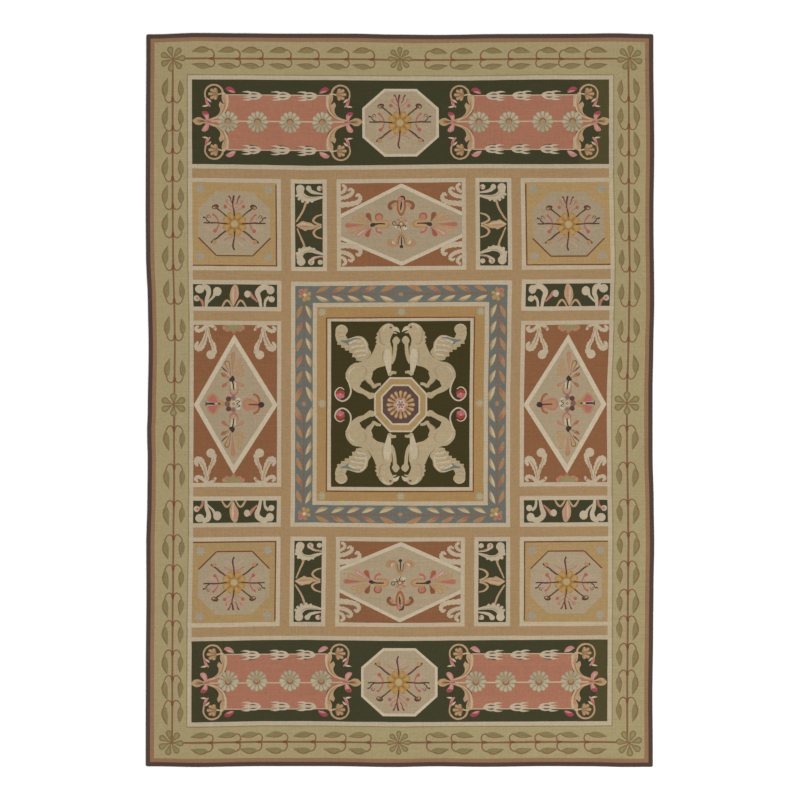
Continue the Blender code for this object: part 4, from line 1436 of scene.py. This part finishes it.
# The wool: each yarn is a little uneven in its dye, so its colour drifts in long streaks, and the weave
# shows as fine ribs across the rug.
cloth_wool, shader, wires = wool_material("dyed_wool")
place = wires.node("ShaderNodeTexCoord", {}, {}, "Object")
yarn = wires.node("ShaderNodeAttribute", {"attribute_name": "yarn"}, {}, "Color")
streaks = wires.noise(wires.stretched(place, (1.6, 60.0, 1.0)), 3.0, 3.0)
upright_streaks = wires.noise(wires.stretched(place, (70.0, 2.0, 1.0)), 3.0, 3.0)
patches = wires.noise(place, 1.4, 2.0)
mottle = wires.noise(place, 110.0, 2.0)
ribs = wires.node("ShaderNodeTexWave", {"bands_direction": "Y"}, {"Vector": place, "Scale": 78.0,
    "Distortion": 0.4, "Detail": 1.0}, "Fac")
tone = 0.44 + streaks * 0.28 + upright_streaks * 0.18 + patches * 0.10 + mottle * 0.30
cloth_wool.node_tree.links.new(wires.dimmed(yarn, tone).socket, shader.inputs["Base Color"])
weave_height = ribs * 0.7 + mottle * 0.6
bump = wires.node("ShaderNodeBump", {}, {"Strength": 0.5, "Distance": 0.0008, "Height": weave_height})
cloth_wool.node_tree.links.new(bump.socket, shader.inputs["Normal"])
woven_mesh.materials.append(cloth_wool)

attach(woven_face, "root")
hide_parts("woven_cloth")


# The edge tape: four strips of dark brown wool tape, folded over and sewn to the cloth's edge.
TAPE_BROWN = "504037"
TAPE_SHADE = "3d302a"
tape_wool, shader, wires = wool_material("tape_wool")
place = wires.node("ShaderNodeTexCoord", {}, {}, "Object")
grain = wires.noise(place, 160.0, 3.0)
drift = wires.noise(place, 5.0, 2.0)
tape_colour = wires.node(
    "ShaderNodeMix", {"data_type": "RGBA"},
    {"Factor": grain * 0.5 + drift * 0.5, 6: (*linear(TAPE_SHADE), 1.0), 7: (*linear(TAPE_BROWN), 1.0)}, 2,
)
tape_wool.node_tree.links.new(tape_colour.socket, shader.inputs["Base Color"])
bump = wires.node("ShaderNodeBump", {}, {"Strength": 0.4, "Distance": 0.0006, "Height": grain})
tape_wool.node_tree.links.new(bump.socket, shader.inputs["Normal"])
TAPES = ("tape_left", "tape_right", "tape_head", "tape_foot")
for name in TAPES:
    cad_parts[name].material_slots[0].material = tape_wool


# The stitches that hold the tape: brown wool thread, sewn by hand at a slant over the joint between the
# tape and the cloth, all the way round the rug.
STITCH_PITCH = 0.011
STITCH_LENGTH = 0.0085
STITCH_WIDTH = 0.0012
STITCH_HEIGHT = 0.0011
STITCH_SLANT = 0.75
STITCH_UNEVENNESS = 0.22
STITCH_SEED = 5

thread_wool, shader, wires = wool_material("thread_wool")
shader.inputs["Base Color"].default_value = (*linear(YARNS["thread"]), 1.0)

seam_mesh = bpy.data.meshes.new("seam")
seam_steps = len(rug_outline)
seam_mesh.from_pydata(
    [(x, y, RUG_FACE) for x, y in rug_outline], [(k, (k + 1) % seam_steps) for k in range(seam_steps)], [],
)
tape_stitches = bpy.data.objects.new("tape_stitches", seam_mesh)
bpy.context.scene.collection.objects.link(tape_stitches)

stitching = bpy.data.node_groups.new("stitching", "GeometryNodeTree")
stitching.interface.new_socket("Seam", in_out="INPUT", socket_type="NodeSocketGeometry")
stitching.interface.new_socket("Stitches", in_out="OUTPUT", socket_type="NodeSocketGeometry")
stitch_sizes = {
    "Pitch": STITCH_PITCH, "Length": STITCH_LENGTH, "Width": STITCH_WIDTH, "Height": STITCH_HEIGHT,
    "Slant": STITCH_SLANT, "Unevenness": STITCH_UNEVENNESS,
}
for name in stitch_sizes:
    stitching.interface.new_socket(name, in_out="INPUT", socket_type="NodeSocketFloat")


def stitch_node(kind, sockets, **settings):
    made = stitching.nodes.new(kind)
    for name, value in settings.items():
        setattr(made, name, value)
    for name, value in sockets.items():
        if isinstance(value, bpy.types.NodeSocket):
            stitching.links.new(value, made.inputs[name])
        else:
            made.inputs[name].default_value = value
    return made.outputs


given = stitch_node("NodeGroupInput", {})
path = stitch_node("GeometryNodeMeshToCurve", {"Mesh": given["Seam"]})
places = stitch_node("GeometryNodeResampleCurve", {"Curve": path["Curve"], "Length": given["Pitch"]},
    mode="LENGTH")
bead = stitch_node("GeometryNodeMeshIcoSphere", {"Radius": 0.5, "Subdivisions": 1})
bead_size = stitch_node("ShaderNodeCombineXYZ", {"X": given["Length"], "Y": given["Width"],
    "Z": given["Height"]})
stitch_shape = stitch_node("GeometryNodeTransform", {"Geometry": bead["Mesh"],
    "Scale": bead_size["Vector"]})
along_seam = stitch_node("GeometryNodeInputTangent", {})
facing = stitch_node("FunctionNodeAlignRotationToVector", {"Vector": along_seam["Tangent"]}, axis="X")
laid_out = stitch_node("GeometryNodeInstanceOnPoints", {
    "Points": places["Curve"], "Instance": stitch_shape["Geometry"], "Rotation": facing["Rotation"],
})
less = stitch_node("ShaderNodeMath", {0: given["Slant"], 1: given["Unevenness"]}, operation="SUBTRACT")
more = stitch_node("ShaderNodeMath", {0: given["Slant"], 1: given["Unevenness"]}, operation="ADD")
slant = stitch_node(
    "FunctionNodeRandomValue", {"Min": less["Value"], "Max": more["Value"], "Seed": STITCH_SEED},
        data_type="FLOAT",
)
turn = stitch_node("ShaderNodeCombineXYZ", {"Z": slant["Value"]})
slanted = stitch_node("GeometryNodeRotateInstances", {"Instances": laid_out["Instances"],
    "Rotation": turn["Vector"]})
realised = stitch_node("GeometryNodeRealizeInstances", {"Geometry": slanted["Instances"]})
sewn = stitch_node("GeometryNodeSetMaterial", {"Geometry": realised["Geometry"], "Material": thread_wool})
stitch_node("NodeGroupOutput", {"Stitches": sewn["Geometry"]})

stitching_step = tape_stitches.modifiers.new("stitching", "NODES")
stitching_step.node_group = stitching
for socket in stitching.interface.items_tree:
    if socket.name in stitch_sizes:
        stitching_step[socket.identifier] = stitch_sizes[socket.name]
bpy.context.view_layer.update()
seen = tape_stitches.evaluated_get(bpy.context.evaluated_depsgraph_get())
stitch_mesh = bpy.data.meshes.new_from_object(seen)
tape_stitches.modifiers.remove(stitching_step)
tape_stitches.data = stitch_mesh
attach(tape_stitches, "root")
